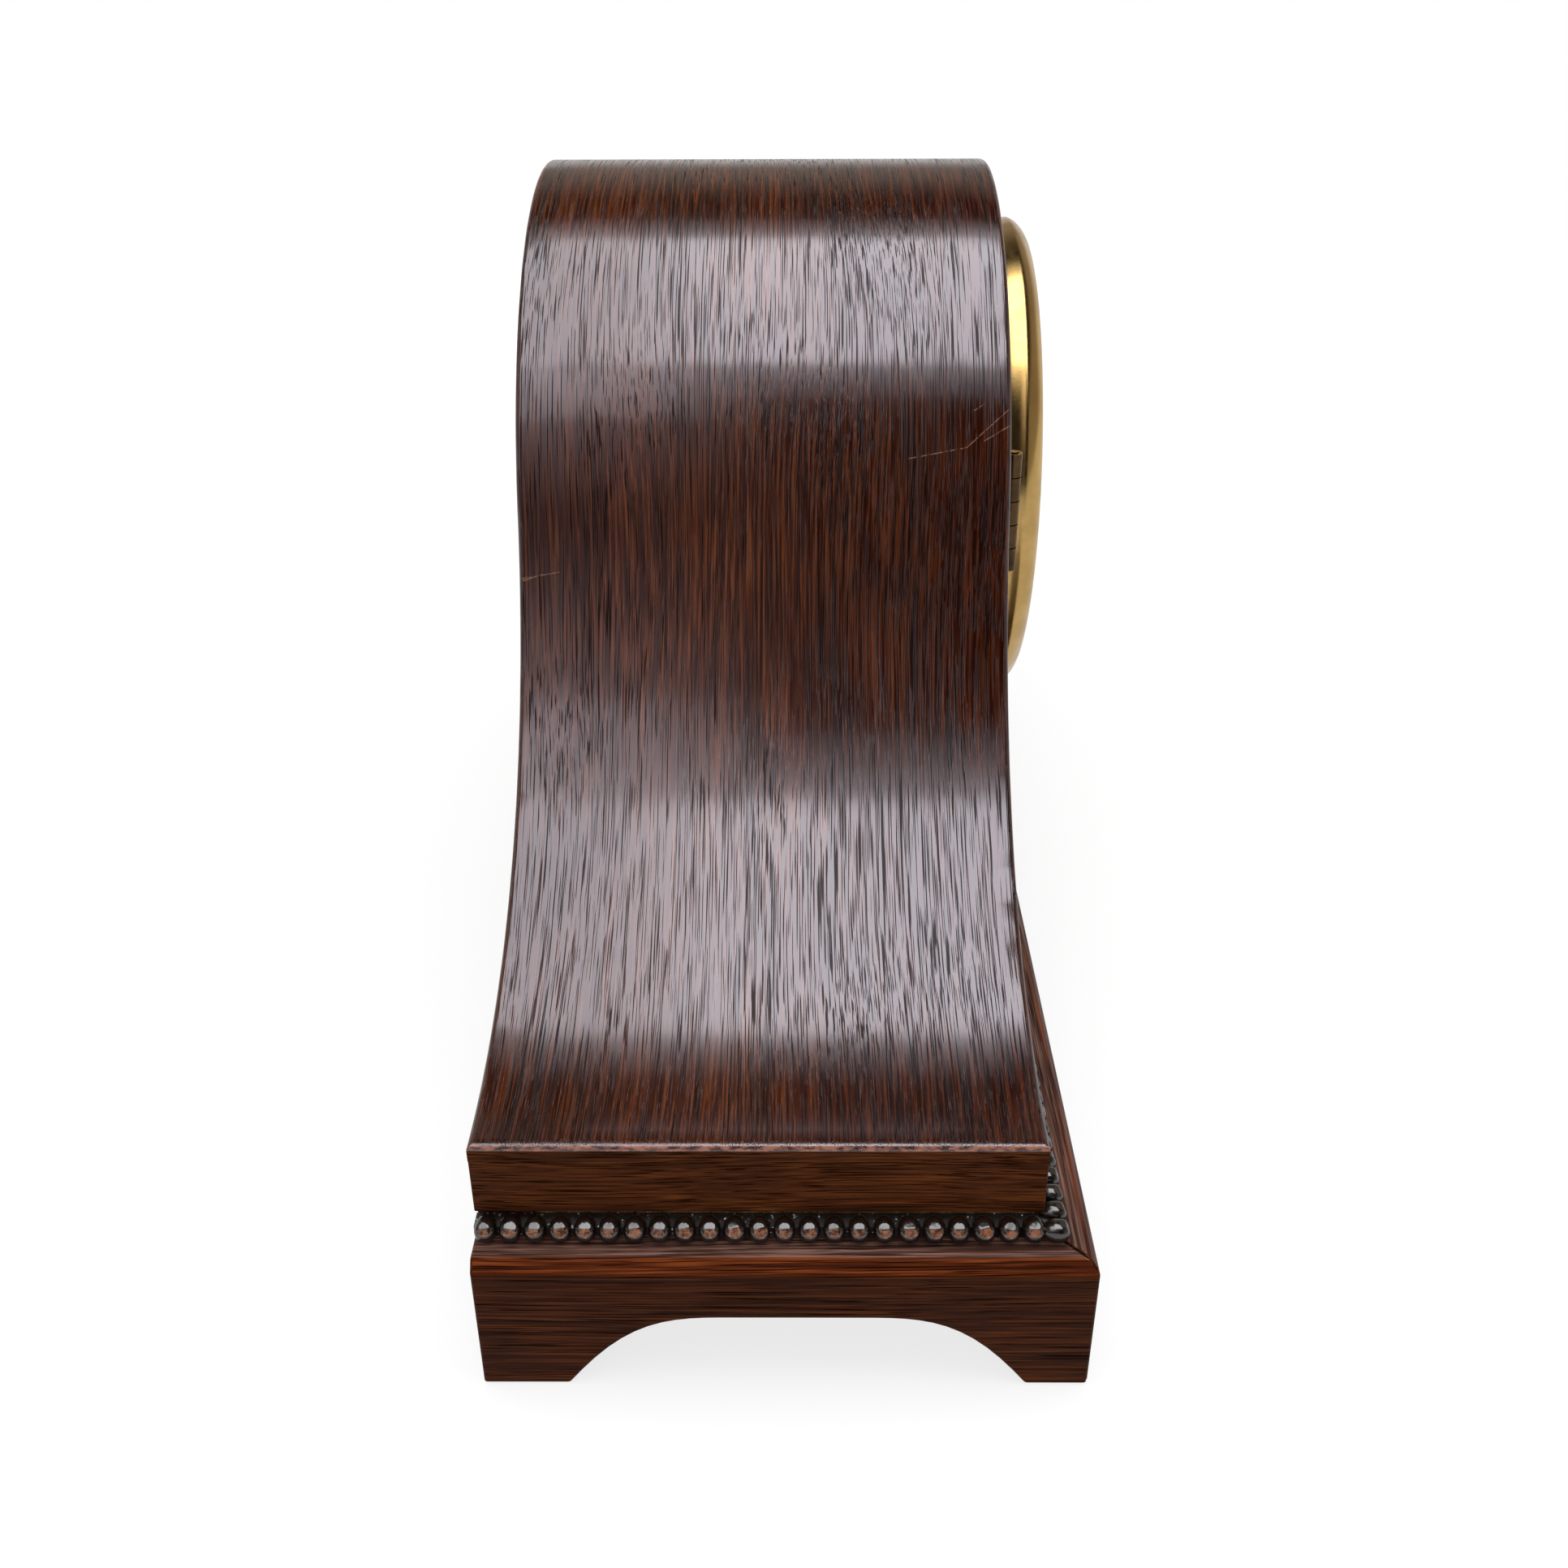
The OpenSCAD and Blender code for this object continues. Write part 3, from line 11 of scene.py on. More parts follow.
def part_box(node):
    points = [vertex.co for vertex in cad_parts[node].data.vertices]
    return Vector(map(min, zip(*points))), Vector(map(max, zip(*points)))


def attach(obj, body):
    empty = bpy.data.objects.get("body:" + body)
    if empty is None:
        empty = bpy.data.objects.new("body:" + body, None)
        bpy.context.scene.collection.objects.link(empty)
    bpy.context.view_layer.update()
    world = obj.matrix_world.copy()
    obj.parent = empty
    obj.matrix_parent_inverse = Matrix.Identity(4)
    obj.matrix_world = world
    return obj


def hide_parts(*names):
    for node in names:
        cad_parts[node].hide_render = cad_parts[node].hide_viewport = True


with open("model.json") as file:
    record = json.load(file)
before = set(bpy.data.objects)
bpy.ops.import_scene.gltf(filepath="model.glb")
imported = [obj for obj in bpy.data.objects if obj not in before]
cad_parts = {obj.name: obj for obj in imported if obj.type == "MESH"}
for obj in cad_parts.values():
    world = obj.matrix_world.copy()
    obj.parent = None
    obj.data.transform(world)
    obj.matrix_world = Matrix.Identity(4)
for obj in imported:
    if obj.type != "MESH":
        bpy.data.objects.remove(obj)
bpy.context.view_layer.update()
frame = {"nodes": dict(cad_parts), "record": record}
BODY_OF = {node: body for body, nodes in frame["record"]["behaviour"]["bodies"].items() for node in nodes}
MM = 0.001

# Sizes of the case profile, as the CAD model has them
HEAD_R = 88 * MM
BRIM_Z = 56 * MM
LIP_W = 3.7 * MM
SKIN_T = 4 * MM

SKIN_LOW, SKIN_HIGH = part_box("top_skin")
CASE_HALF = SKIN_HIGH.x
HEAD_Z = SKIN_HIGH.z - HEAD_R
Y_FACE = SKIN_LOW.y
Y_BACK = SKIN_HIGH.y
BEZEL_LOW, BEZEL_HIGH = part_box("bezel_ring")
BEZEL_R = -BEZEL_LOW.x
DIAL_Z = (BEZEL_LOW.z + BEZEL_HIGH.z) / 2


# Node graphs

class Graph:
    """Short calls that add nodes to a material or world. A value is a number, a tuple or a socket."""

    def __init__(self, tree):
        self.tree = tree

    def add(self, kind, inputs=(), **settings):
        node = self.tree.nodes.new(kind)
        for key, value in settings.items():
            setattr(node, key, value)
        for key, value in dict(inputs).items():
            if isinstance(value, bpy.types.NodeSocket):
                self.tree.links.new(value, node.inputs[key])
            else:
                node.inputs[key].default_value = value
        return node

    def math(self, operation, a, b=0.0, clamp=False):
        return self.add("ShaderNodeMath", {0: a, 1: b}, operation=operation, use_clamp=clamp).outputs[0]

    def product(self, first, *others):
        for other in others:
            first = self.math("MULTIPLY", first, other)
        return first

    def largest(self, first, *others):
        for other in others:
            first = self.math("MAXIMUM", first, other)
        return first

    def vector(self, operation, a, b=(0, 0, 0)):
        return self.add("ShaderNodeVectorMath", {0: a, 1: b}, operation=operation).outputs[0]

    def scaled(self, vector, factor):
        return self.add("ShaderNodeVectorMath", {0: vector, 3: factor}, operation="SCALE").outputs[0]

    def length(self, vector):
        return self.add("ShaderNodeVectorMath", {0: vector}, operation="LENGTH").outputs["Value"]

    def noise(self, at, cells, detail=2.0, roughness=0.5):
        """Soft noise with this many cells per unit, the same along all axes or given for each."""
        if not isinstance(cells, tuple):
            cells = (cells,) * 3
        return self.add("ShaderNodeTexNoise", {
            "Vector": self.vector("MULTIPLY", at, cells), "Scale": 1.0, "Detail": detail,
            "Roughness": roughness}).outputs[0]

    def ramp(self, factor, *stops):
        """Ramp of grey levels; a stop is (place, level)."""
        node = self.add("ShaderNodeValToRGB", {0: factor})
        for element, (place, level) in zip(node.color_ramp.elements, stops):
            element.position = place
            element.color = (level, level, level, 1)
        return node.outputs[0]

    def rise(self, factor, low, high, most=1.0):
        return self.ramp(factor, (low, 0.0), (high, most))

    def fall(self, factor, low, high, most=1.0):
        return self.ramp(factor, (low, most), (high, 0.0))

    def span(self, value, low, high, first, last):
        """Runs from first at low to last at high, and stays level beyond them."""
        return self.add("ShaderNodeMapRange", {0: value, 1: low, 2: high, 3: first, 4: last}).outputs[0]

    def mix(self, factor, a, b, blend="MIX"):
        node = self.add("ShaderNodeMix", data_type="RGBA", blend_type=blend)
        for socket, value in ((node.inputs[0], factor), (node.inputs[6], a), (node.inputs[7], b)):
            if isinstance(value, bpy.types.NodeSocket):
                self.tree.links.new(value, socket)
            elif isinstance(value, tuple):
                socket.default_value = (*value, 1)
            else:
                socket.default_value = value
        return node.outputs[2]

    def bump(self, height, depth):
        return self.add("ShaderNodeBump", {"Height": height, "Distance": depth, "Strength": 1.0}).outputs[0]

    def millimetres(self, vector):
        return self.vector("MULTIPLY", vector, (1 / MM,) * 3)

    def place(self, order="XYZ"):
        """Object coordinates in millimetres, with the axes in this order."""
        at = self.millimetres(self.add("ShaderNodeTexCoord").outputs["Object"])
        parts = self.add("ShaderNodeSeparateXYZ", {0: at}).outputs
        ordered = {i: parts["XYZ".index(axis)] for i, axis in enumerate(order)}
        return self.add("ShaderNodeCombineXYZ", ordered).outputs[0]

    def in_view(self, mirrored):
        """1 for rays from the camera or through glass, and the value given for mirrored rays."""
        path = self.add("ShaderNodeLightPath").outputs
        share = self.product(path["Is Glossy Ray"], mirrored)
        return self.largest(path["Is Camera Ray"], path["Is Transmission Ray"], share)


# Camera, as solved from the outline of the clock in the photo

PHOTO_PX = 1932
FOCAL_PX = 1982.65
SENSOR_W = 36
CAMERA_AT = Vector((-441.4, -1.53, 273.84)) * MM
CAMERA_PITCH = 0.51655
CAMERA_YAW = 0.0071155
CAMERA_ROLL = -0.0039136


def make_camera():
    """The camera stands beyond the left end of the clock and looks along it, a little down."""
    data = bpy.data.cameras.new("photo_camera")
    data.sensor_width = SENSOR_W
    data.lens = SENSOR_W * FOCAL_PX / PHOTO_PX
    data.clip_start = 0.01
    data.clip_end = 50
    camera = bpy.data.objects.new("photo_camera", data)
    bpy.context.scene.collection.objects.link(camera)
    forward = Vector((math.cos(CAMERA_PITCH) * math.cos(CAMERA_YAW),
                      math.cos(CAMERA_PITCH) * math.sin(CAMERA_YAW), -math.sin(CAMERA_PITCH)))
    right = Vector((math.sin(CAMERA_YAW), -math.cos(CAMERA_YAW), 0))
    up = right.cross(forward)
    turned_right = math.cos(CAMERA_ROLL) * right + math.sin(CAMERA_ROLL) * up
    turned_up = math.cos(CAMERA_ROLL) * up - math.sin(CAMERA_ROLL) * right
    turn = Matrix((turned_right, turned_up, -forward)).transposed()
    camera.matrix_world = Matrix.Translation(CAMERA_AT) @ turn.to_4x4()
    bpy.context.scene.camera = camera


# World, floor and lamps. The varnish mirrors a dim room, but the camera sees plain white.

WHITE = (1.0, 1.0, 1.0)
ROOM = (0.31, 0.27, 0.23)
DARK = (0.006, 0.005, 0.005)
WALL_TINT = (1.0, 0.88, 0.88)
WALL_LOW = 0.05
WALL_RISE = 1.6
MIRRORED = 0.6


def make_world():
    """A dim room, dark to the left and overhead, with a pale wall to the rear left that grows
    brighter upwards. The camera sees white instead. So do mirrored rays that leave low down or
    toward the backdrop on the right, where the white is dimmed to MIRRORED."""
    world = bpy.data.worlds.new("studio")
    world.use_nodes = True
    world.node_tree.nodes.clear()
    g = Graph(world.node_tree)
    toward = g.add("ShaderNodeTexCoord").outputs["Generated"]
    right, rear, up = g.add("ShaderNodeSeparateXYZ", {0: toward}).outputs
    left = g.math("MULTIPLY", right, -1.0)
    front = g.math("MULTIPLY", rear, -1.0)
    overhead = g.rise(up, 0.5, 0.72)
    dark_end = g.product(g.rise(left, 0.4, 0.6), g.fall(front, 0.45, 0.75))
    wall = g.product(g.rise(left, 0.2, 0.6), g.rise(rear, 0.03, 0.14), g.fall(up, 0.78, 0.88))
    bright = g.math("ADD", WALL_LOW, g.product(up, up, WALL_RISE))
    room = g.mix(overhead, ROOM, DARK)
    room = g.mix(dark_end, room, DARK)
    room = g.mix(wall, room, g.scaled(WALL_TINT, bright))
    low = g.fall(up, 0.0, 0.06)
    backdrop = g.product(g.rise(right, 0.3, 0.6), g.fall(up, 0.12, 0.3))
    seen = g.in_view(g.product(g.largest(low, backdrop), MIRRORED))
    background = g.add("ShaderNodeBackground", {0: g.mix(seen, room, WHITE), 1: 1.0})
    g.add("ShaderNodeOutputWorld", {0: background.outputs[0]})
    bpy.context.scene.world = world


FLOOR_R = 1.3
FLOOR_DROP = 0.2 * MM
FLOOR_STEPS = 96
FLOOR_GREY = (0.20, 0.20, 0.20, 1)
# Distances from the middle between which the floor's glow grows from its first level to its last,
# and distances between which the floor fades out
GLOW_FROM, GLOW_TO = 0.3, 0.9
GLOW_FIRST, GLOW_LAST = 0.74, 0.94
FADE_FROM, FADE_TO = 0.7, 1.2


def make_floor():
    """A round pale floor that keeps the shadow near the clock and fades into the white background."""
    mesh = bpy.data.meshes.new("floor")
    turns = [2 * math.pi * i / FLOOR_STEPS for i in range(FLOOR_STEPS)]
    ring = [(FLOOR_R * math.cos(a), FLOOR_R * math.sin(a), 0) for a in turns]
    mesh.from_pydata(ring, [], [list(range(FLOOR_STEPS))])
    floor = bpy.data.objects.new("floor", mesh)
    floor.location.z = -FLOOR_DROP
    bpy.context.scene.collection.objects.link(floor)
    material = bpy.data.materials.new("floor")
    material.use_nodes = True
    material.node_tree.nodes.clear()
    g = Graph(material.node_tree)
    reach = g.length(g.add("ShaderNodeTexCoord").outputs["Object"])
    bright = g.product(g.span(reach, GLOW_FROM, GLOW_TO, GLOW_FIRST, GLOW_LAST), g.in_view(MIRRORED))
    lit = g.add("ShaderNodeBsdfDiffuse", {0: FLOOR_GREY})
    glow = g.add("ShaderNodeEmission", {0: (*WHITE, 1), 1: bright})
    solid = g.add("ShaderNodeAddShader", {0: lit.outputs[0], 1: glow.outputs[0]})
    clear = g.add("ShaderNodeBsdfTransparent")
    gone = g.span(reach, FADE_FROM, FADE_TO, 0.0, 1.0)
    faded = g.add("ShaderNodeMixShader", {0: gone, 1: solid.outputs[0], 2: clear.outputs[0]})
    g.add("ShaderNodeOutputMaterial", {0: faded.outputs[0]})
    mesh.materials.append(material)


# Lamps as (name, middle, size, radiance). The windows are mirrored and face straight down; the glow
# and the halo soften their edges. The fills light the clock from all sides and aren't mirrored.
WINDOWS = (
    ("window", (-0.1375, -0.2375, 1.3), (1.085, 0.715), 3.2),
    ("window_side", (-0.1375, 0.435, 1.3), (1.085, 0.63), 2.0),
    ("window_glow", (-0.17, 0.08, 1.32), (1.38, 1.48), 0.5),
    ("window_halo", (-0.20, 0.09, 1.34), (1.70, 1.62), 0.4),
    ("window_rear", (-0.98, 0.5, 1.3), (0.6, 0.8), 0.7),
)
FILLS = (
    ("fill_left", (-1.6, 0, 0.7), (1.2, 1.2), 4.2),
    ("fill_front", (0.1, -1.7, 0.7), (1.6, 1.2), 3.6),
    ("fill_back", (0.3, 1.7, 0.7), (1.6, 1.2), 3.2),
    ("fill_right", (1.7, 0, 0.7), (1.2, 1.2), 3.6),
)
FILLS_AIM = (0, 0, 0.1)


def softbox(name, at, target, size, radiance, glossy=True):
    """A rectangular lamp. Its power follows from its size, so that it looks equally bright at any size."""
    data = bpy.data.lights.new(name, "AREA")
    data.shape = "RECTANGLE"
    data.size, data.size_y = size
    data.energy = radiance * math.pi * size[0] * size[1]
    lamp = bpy.data.objects.new(name, data)
    lamp.location = at
    lamp.rotation_euler = (Vector(target) - Vector(at)).to_track_quat("-Z", "Y").to_euler()
    lamp.visible_camera = False
    lamp.visible_glossy = glossy
    bpy.context.scene.collection.objects.link(lamp)


def make_studio():
    make_world()
    make_floor()
    for name, at, size, radiance in WINDOWS:
        softbox(name, at, (at[0], at[1], 0), size, radiance)
    for name, at, size, radiance in FILLS:
        softbox(name, at, FILLS_AIM, size, radiance, glossy=False)


# Materials

def shader(name, build, **fixed):
    """Make a material. build(g) returns the linked inputs; fixed ones are set on the shader's sockets."""
    material = bpy.data.materials.new(name)
    material.use_nodes = True
    g = Graph(material.node_tree)
    bsdf = material.node_tree.nodes["Principled BSDF"]
    for key, value in fixed.items():
        bsdf.inputs[key.replace("_", " ")].default_value = value
    for key, value in build(g).items():
        if isinstance(value, bpy.types.NodeSocket):
            material.node_tree.links.new(value, bsdf.inputs[key])
        else:
            bsdf.inputs[key].default_value = value
    return material


# Oak: noise cells per millimetre, along the grain and twice across it
DRIFT_CELLS = (0.007, 0.022, 0.022)
RING_CELLS = (0.006, 0.11, 0.11)
FIBRE_CELLS = (0.03, 1.7, 1.7)
HAIR_CELLS = (0.07, 5.0, 5.0)
PORE_CELLS = (0.048, 4.1, 4.1)
RUB_CELLS = (0.12, 0.4, 0.4)
PATCH_CELLS = 0.03
# How far the grain wanders sideways, in millimetres
WANDER = 7.0
# Pores: how much easier they open in dark rings, how sharp their edges are, how much stain they take,
# how dark it is against the dark rings, how much rougher they are and how deep
PORE_CROWDING = 0.07
PORE_SHARPNESS = 14.0
PORE_STAIN = 0.85
PORE_SHADE = 0.3
PORE_ROUGHNESS = 0.15
PORE_DEPTH = 0.026 * MM
# Height of the fine hairs of grain, in pore depths
HAIR_HEIGHT = 0.3
RUBBED_COLOUR = (0.24, 0.095, 0.055)
# Painted shade: the colour is darkened within these distances of the front and rear edge, in millimetres
FRONT_PAINTED_SHADE_W = 65
FRONT_PAINTED_SHADE = (0.56, 0.42, 0.36)
REAR_PAINTED_SHADE_W = 25
REAR_PAINTED_SHADE = (0.70, 0.70, 0.75)
# Ends of the scratches on the left side, as (length along the skin, depth) in millimetres
SCRATCHES = (
    ((170.5, -28.0), (173.0, -41.5)), ((173.0, -41.5), (182.0, -51.5)), ((174.5, -45.5), (178.0, -51.5)),
    ((181.0, -42.5), (183.0, -45.5)), ((143.0, 62.5), (144.5, 53.5)), ((142.5, 62.0), (144.0, 57.5)),
)
SCRATCH_COLOUR = (0.28, 0.15, 0.10)
# Distances from a scratch's middle line up to which it is strong, and at which it ends, and how many
# breaks it has per millimetre
SCRATCH_CORE, SCRATCH_EDGE = 0.03, 0.2
SCRATCH_BREAKS = 0.9
SCRATCH_STRENGTH = 0.5


def scratch(g, at, start, end):
    """Mask of a thin straight scratch between two places, broken here and there."""
    a, b = Vector((*start, 0)), Vector((*end, 0))
    run = b - a
    off = g.vector("SUBTRACT", g.vector("MULTIPLY", at, (1, 1, 0)), tuple(a))
    share = g.add("ShaderNodeVectorMath", {0: off, 1: tuple(run / run.length_squared)},
                  operation="DOT_PRODUCT").outputs["Value"]
    share = g.math("MAXIMUM", g.math("MINIMUM", share, 1.0), 0.0)
    reach = g.length(g.vector("SUBTRACT", off, g.scaled(tuple(run), share)))
    line = g.span(reach, SCRATCH_CORE, SCRATCH_EDGE, SCRATCH_STRENGTH, 0.0)
    broken = g.ramp(g.noise(at, SCRATCH_BREAKS), (0.42, 0.1), (0.6, 1.0))
    return g.product(line, broken)


def shade_edges(g, at, colour, low, high):
    """Painted shade: darken the colour of a board toward its front edge at low and its rear edge at high."""
    depth = g.add("ShaderNodeSeparateXYZ", {0: at}).outputs[1]
    front = g.span(depth, low, low + FRONT_PAINTED_SHADE_W, 1.0, 0.0)
    rear = g.span(depth, high - REAR_PAINTED_SHADE_W, high, 0.0, 1.0)
    colour = g.mix(front, colour, FRONT_PAINTED_SHADE, "MULTIPLY")
    return g.mix(rear, colour, REAR_PAINTED_SHADE, "MULTIPLY")


def oak(name, coords, tones, worn=0.0, gloss=(0.11, 0.18), shine=0.75, pores=0.60,
        scratches=(), painted_shade_edges=None, **fixed):
    """Stained oak. coords(g) gives (along the grain, across, across) in millimetres; tones are the
    colours of dark rings, body and light fibres; pores is the level of noise at which a pore opens."""
    def build(g):
        dark, body, light = tones
        at = coords(g)
        drift = g.noise(at, DRIFT_CELLS, detail=1.0)
        sideways = g.add("ShaderNodeCombineXYZ", {1: drift, 2: drift}).outputs[0]
        warped = g.vector("ADD", at, g.vector("MULTIPLY", sideways, (0, WANDER, WANDER)))
        ring = g.noise(warped, RING_CELLS, detail=3.0, roughness=0.6)
        fibre = g.noise(warped, FIBRE_CELLS, roughness=0.6)
        hair = g.noise(warped, HAIR_CELLS, detail=1.0)
        cells = g.noise(warped, PORE_CELLS, detail=1.0)
        patch = g.noise(at, PATCH_CELLS)
        edge = g.math("SUBTRACT", pores, g.product(g.rise(ring, 0.36, 0.62), PORE_CROWDING))
        pore = g.math("MULTIPLY", g.math("SUBTRACT", cells, edge), PORE_SHARPNESS, clamp=True)
        colour = g.mix(g.rise(ring, 0.3, 0.68), body, dark)
        colour = g.mix(g.rise(fibre, 0.46, 0.64), colour, light)
        colour = g.mix(g.fall(fibre, 0.36, 0.48, 0.7), colour, dark)
        colour = g.mix(g.rise(patch, 0.4, 0.7, 0.5), colour, dark)
        colour = g.mix(g.rise(hair, 0.45, 0.65, 0.5), colour, dark)
        stained = g.product(pore, PORE_STAIN)
        colour = g.mix(stained, colour, tuple(PORE_SHADE * c for c in dark))
        # Painted shade toward the front and rear edges
        if painted_shade_edges:
            colour = shade_edges(g, at, colour, *painted_shade_edges)
        for start, end in scratches:
            colour = g.mix(scratch(g, at, start, end), colour, SCRATCH_COLOUR)
        if worn:
            rub = g.rise(g.noise(at, RUB_CELLS, detail=4.0), 0.42, 0.6, worn)
            colour = g.mix(rub, colour, RUBBED_COLOUR)
        rough = g.math("ADD", gloss[0], g.product(fibre, gloss[1] - gloss[0]))
        rough = g.math("ADD", rough, g.product(pore, PORE_ROUGHNESS), clamp=True)
        mirror = g.product(g.math("SUBTRACT", 1.0, stained), shine)
        height = g.math("SUBTRACT", g.product(hair, HAIR_HEIGHT), pore)
        return {"Base Color": colour, "Roughness": rough, "Specular IOR Level": mirror,
                "Normal": g.bump(height, PORE_DEPTH)}
    return shader(name, build, **fixed)


def along(order):
    """Coordinates for a board whose grain runs along the first axis of the order."""
    return lambda g: g.place(order)


def skin_coords(g):
    """Coordinates of the bent veneer: its own length along the profile, then its depth."""
    return g.millimetres(g.add("ShaderNodeAttribute", attribute_name="grain").outputs["Vector"])


# Metal: noise cells per millimetre, how much its roughness varies, and how much rougher tarnish is
METAL_CELLS = 1.6
TARNISH_CELLS = 0.12
METAL_SPREAD = 0.12
TARNISH_ROUGHNESS = 0.25


def metal(name, colour, shade, roughness, scratched=(1, 1, 1), tarnish=0.3, bump=0.012):
    """Metal with fine scratches and a little tarnish. The bump is in millimetres."""
    def build(g):
        at = g.place()
        fine = g.noise(at, tuple(METAL_CELLS * s for s in scratched), detail=4.0, roughness=0.7)
        cloud = g.noise(at, TARNISH_CELLS, detail=4.0, roughness=0.6)
        mask = g.rise(cloud, 0.42, 0.72, tarnish)
        rough = g.math("ADD", roughness - METAL_SPREAD / 2, g.product(fine, METAL_SPREAD))
        rough = g.math("ADD", rough, g.product(mask, TARNISH_ROUGHNESS), clamp=True)
        return {"Base Color": g.mix(mask, colour, shade), "Roughness": rough,
                "Normal": g.bump(fine, bump * MM)}
    return shader(name, build, Metallic=1.0)


# Lacquer: noise cells per millimetre of its worn patches and of the dust, how deep the wear is, and
# how much the roughness varies
WEAR_CELLS = 0.9
DUST_CELLS = 1.5
DUST = (0.75, 0.75, 0.72)
WEAR_DEPTH = 0.05 * MM
LACQUER_SPREAD = 0.2


def lacquer(name, colour, worn_colour, worn, roughness, dust=0.0):
    """Dark lacquer with worn patches and grains of dust."""
    def build(g):
        at = g.place()
        cloud = g.noise(at, WEAR_CELLS, detail=3.0, roughness=0.6)
        base = g.mix(g.rise(cloud, 0.38, 0.6, worn), colour, worn_colour)
        if dust:
            grit = g.noise(at, DUST_CELLS, detail=1.0)
            base = g.mix(g.rise(grit, 0.70, 0.73, dust), base, DUST)
        rough = g.math("ADD", roughness, g.product(cloud, LACQUER_SPREAD))
        return {"Base Color": base, "Roughness": rough, "Normal": g.bump(cloud, WEAR_DEPTH)}
    return shader(name, build, IOR=1.9)


# Ink and iron: noise cells per millimetre of their wide patches, and how much the roughness varies
WIDE_CELLS = 0.05
PLAIN_SPREAD = 0.1


def plain(name, colour, variation, roughness, cells, bump):
    """Ink or cast iron with a fine grain. The bump is in millimetres."""
    def build(g):
        at = g.place()
        fine = g.noise(at, cells, detail=4.0, roughness=0.6)
        wide = g.noise(at, WIDE_CELLS, detail=3.0)
        tone = g.mix(g.rise(wide, 0.35, 0.7), colour, tuple(c * variation for c in colour))
        rough = g.math("ADD", roughness - PLAIN_SPREAD / 2, g.product(fine, PLAIN_SPREAD))
        return {"Base Color": tone, "Roughness": rough, "Normal": g.bump(fine, bump * MM)}
    return shader(name, build)


def glass(name):
    """Clear glass with the faintest smears."""
    def build(g):
        smear = g.noise(g.place(), (0.03, 0.03, 0.2), detail=3.0)
        return {"Roughness": g.ramp(smear, (0.5, 0.01), (0.8, 0.06)), "Base Color": (0.97, 0.99, 0.98, 1)}
    return shader(name, build, Transmission_Weight=1.0, IOR=1.46)


VENEER_TONES = ((0.012, 0.0025, 0.0007), (0.052, 0.0100, 0.0018), (0.108, 0.027, 0.005))
BLOCK_TONES = ((0.024, 0.0070, 0.0024), (0.072, 0.0176, 0.0042), (0.102, 0.029, 0.007))
RAIL_TONES = ((0.012, 0.0028, 0.0010), (0.043, 0.0098, 0.0024), (0.080, 0.021, 0.0052))
# Painted light: the slopes face up, so their tones are lighter and more orange than the rail's
SLOPE_PAINTED_LIGHT_TONES = ((0.018, 0.0035, 0.0012), (0.084, 0.0155, 0.0030), (0.165, 0.036, 0.007))
# Painted sheen: the ledges look up, and their pale greyish-pink tones stand in for the varnish's reflection
LEDGE_PAINTED_SHEEN_TONES = ((0.026, 0.012, 0.0090), (0.126, 0.058, 0.0430), (0.215, 0.118, 0.092))
PANEL_TONES = ((0.018, 0.0045, 0.0020), (0.052, 0.0130, 0.0045), (0.105, 0.030, 0.009))
BARE_TONES = ((0.07, 0.04, 0.02), (0.20, 0.12, 0.06), (0.28, 0.18, 0.10))
VARNISH = {"IOR": 1.75, "Specular_Tint": (0.95, 0.91, 1.0, 1)}
MATT = {"gloss": (0.45, 0.6), "shine": 0.12, "Specular_Tint": (1.0, 0.62, 0.45, 1)}
WAXED = {"gloss": (0.3, 0.42), "shine": 0.05, "IOR": 1.75, "Specular_Tint": (1.0, 0.55, 0.38, 1)}

MATERIALS = {
    # The veneer takes painted shade toward its front and rear edges
    "veneer": oak("veneer", skin_coords, VENEER_TONES, scratches=SCRATCHES,
                  painted_shade_edges=(Y_FACE / MM, Y_BACK / MM), **VARNISH),
    "veneer_worn": oak("veneer_worn", skin_coords, VENEER_TONES, worn=0.9, **VARNISH),
    "skin_end": oak("skin_end", along("YXZ"), BLOCK_TONES, **MATT),
    "block": oak("block", along("YXZ"), BLOCK_TONES, pores=0.58, **MATT),
    "panel": oak("panel", along("XYZ"), PANEL_TONES, gloss=(0.2, 0.3), shine=0.28, **VARNISH),
    "inside": oak("inside", along("XYZ"), BARE_TONES, gloss=(0.6, 0.8), shine=0.3),
    "bead": lacquer("bead", (0.004, 0.0028, 0.0025), (0.012, 0.006, 0.004), 0.6, 0.10),
    "bead_facet": lacquer("bead_facet", (0.045, 0.015, 0.007), (0.200, 0.072, 0.032), 1.0, 0.14),
    "bead_bed": lacquer("bead_bed", (0.006, 0.004, 0.0035), (0.022, 0.016, 0.014), 0.8, 0.4, dust=1.0),
    "brass": metal("brass", (0.62, 0.41, 0.15), (0.34, 0.19, 0.055), 0.17, tarnish=0.4),
    "brass_dark": metal("brass_dark", (0.10, 0.058, 0.026), (0.03, 0.018, 0.012), 0.22, tarnish=0.9,
                        bump=0.04),
    "brass_plate": metal("brass_plate", (0.80, 0.60, 0.28), (0.42, 0.25, 0.09), 0.3, scratched=(0.08, 1, 1)),
    "brass_wheel": metal("brass_wheel", (0.84, 0.64, 0.30), (0.46, 0.29, 0.10), 0.24),
    "steel": metal("steel", (0.56, 0.55, 0.53), (0.20, 0.17, 0.14), 0.26, tarnish=0.5),
    "steel_dark": metal("steel_dark", (0.22, 0.21, 0.21), (0.09, 0.07, 0.05), 0.35, tarnish=0.6),
    "blued": metal("blued", (0.020, 0.024, 0.045), (0.03, 0.03, 0.04), 0.2),
    "iron": plain("iron", (0.035, 0.035, 0.037), 0.7, 0.55, cells=1.2, bump=0.08),
    "dial": metal("dial", (0.72, 0.70, 0.65), (0.62, 0.59, 0.52), 0.42, scratched=(0.15, 1, 2), tarnish=0.6),
    "ink": plain("ink", (0.012, 0.011, 0.010), 1.6, 0.4, cells=2.0, bump=0.004),
    "glass": glass("glass"),
}
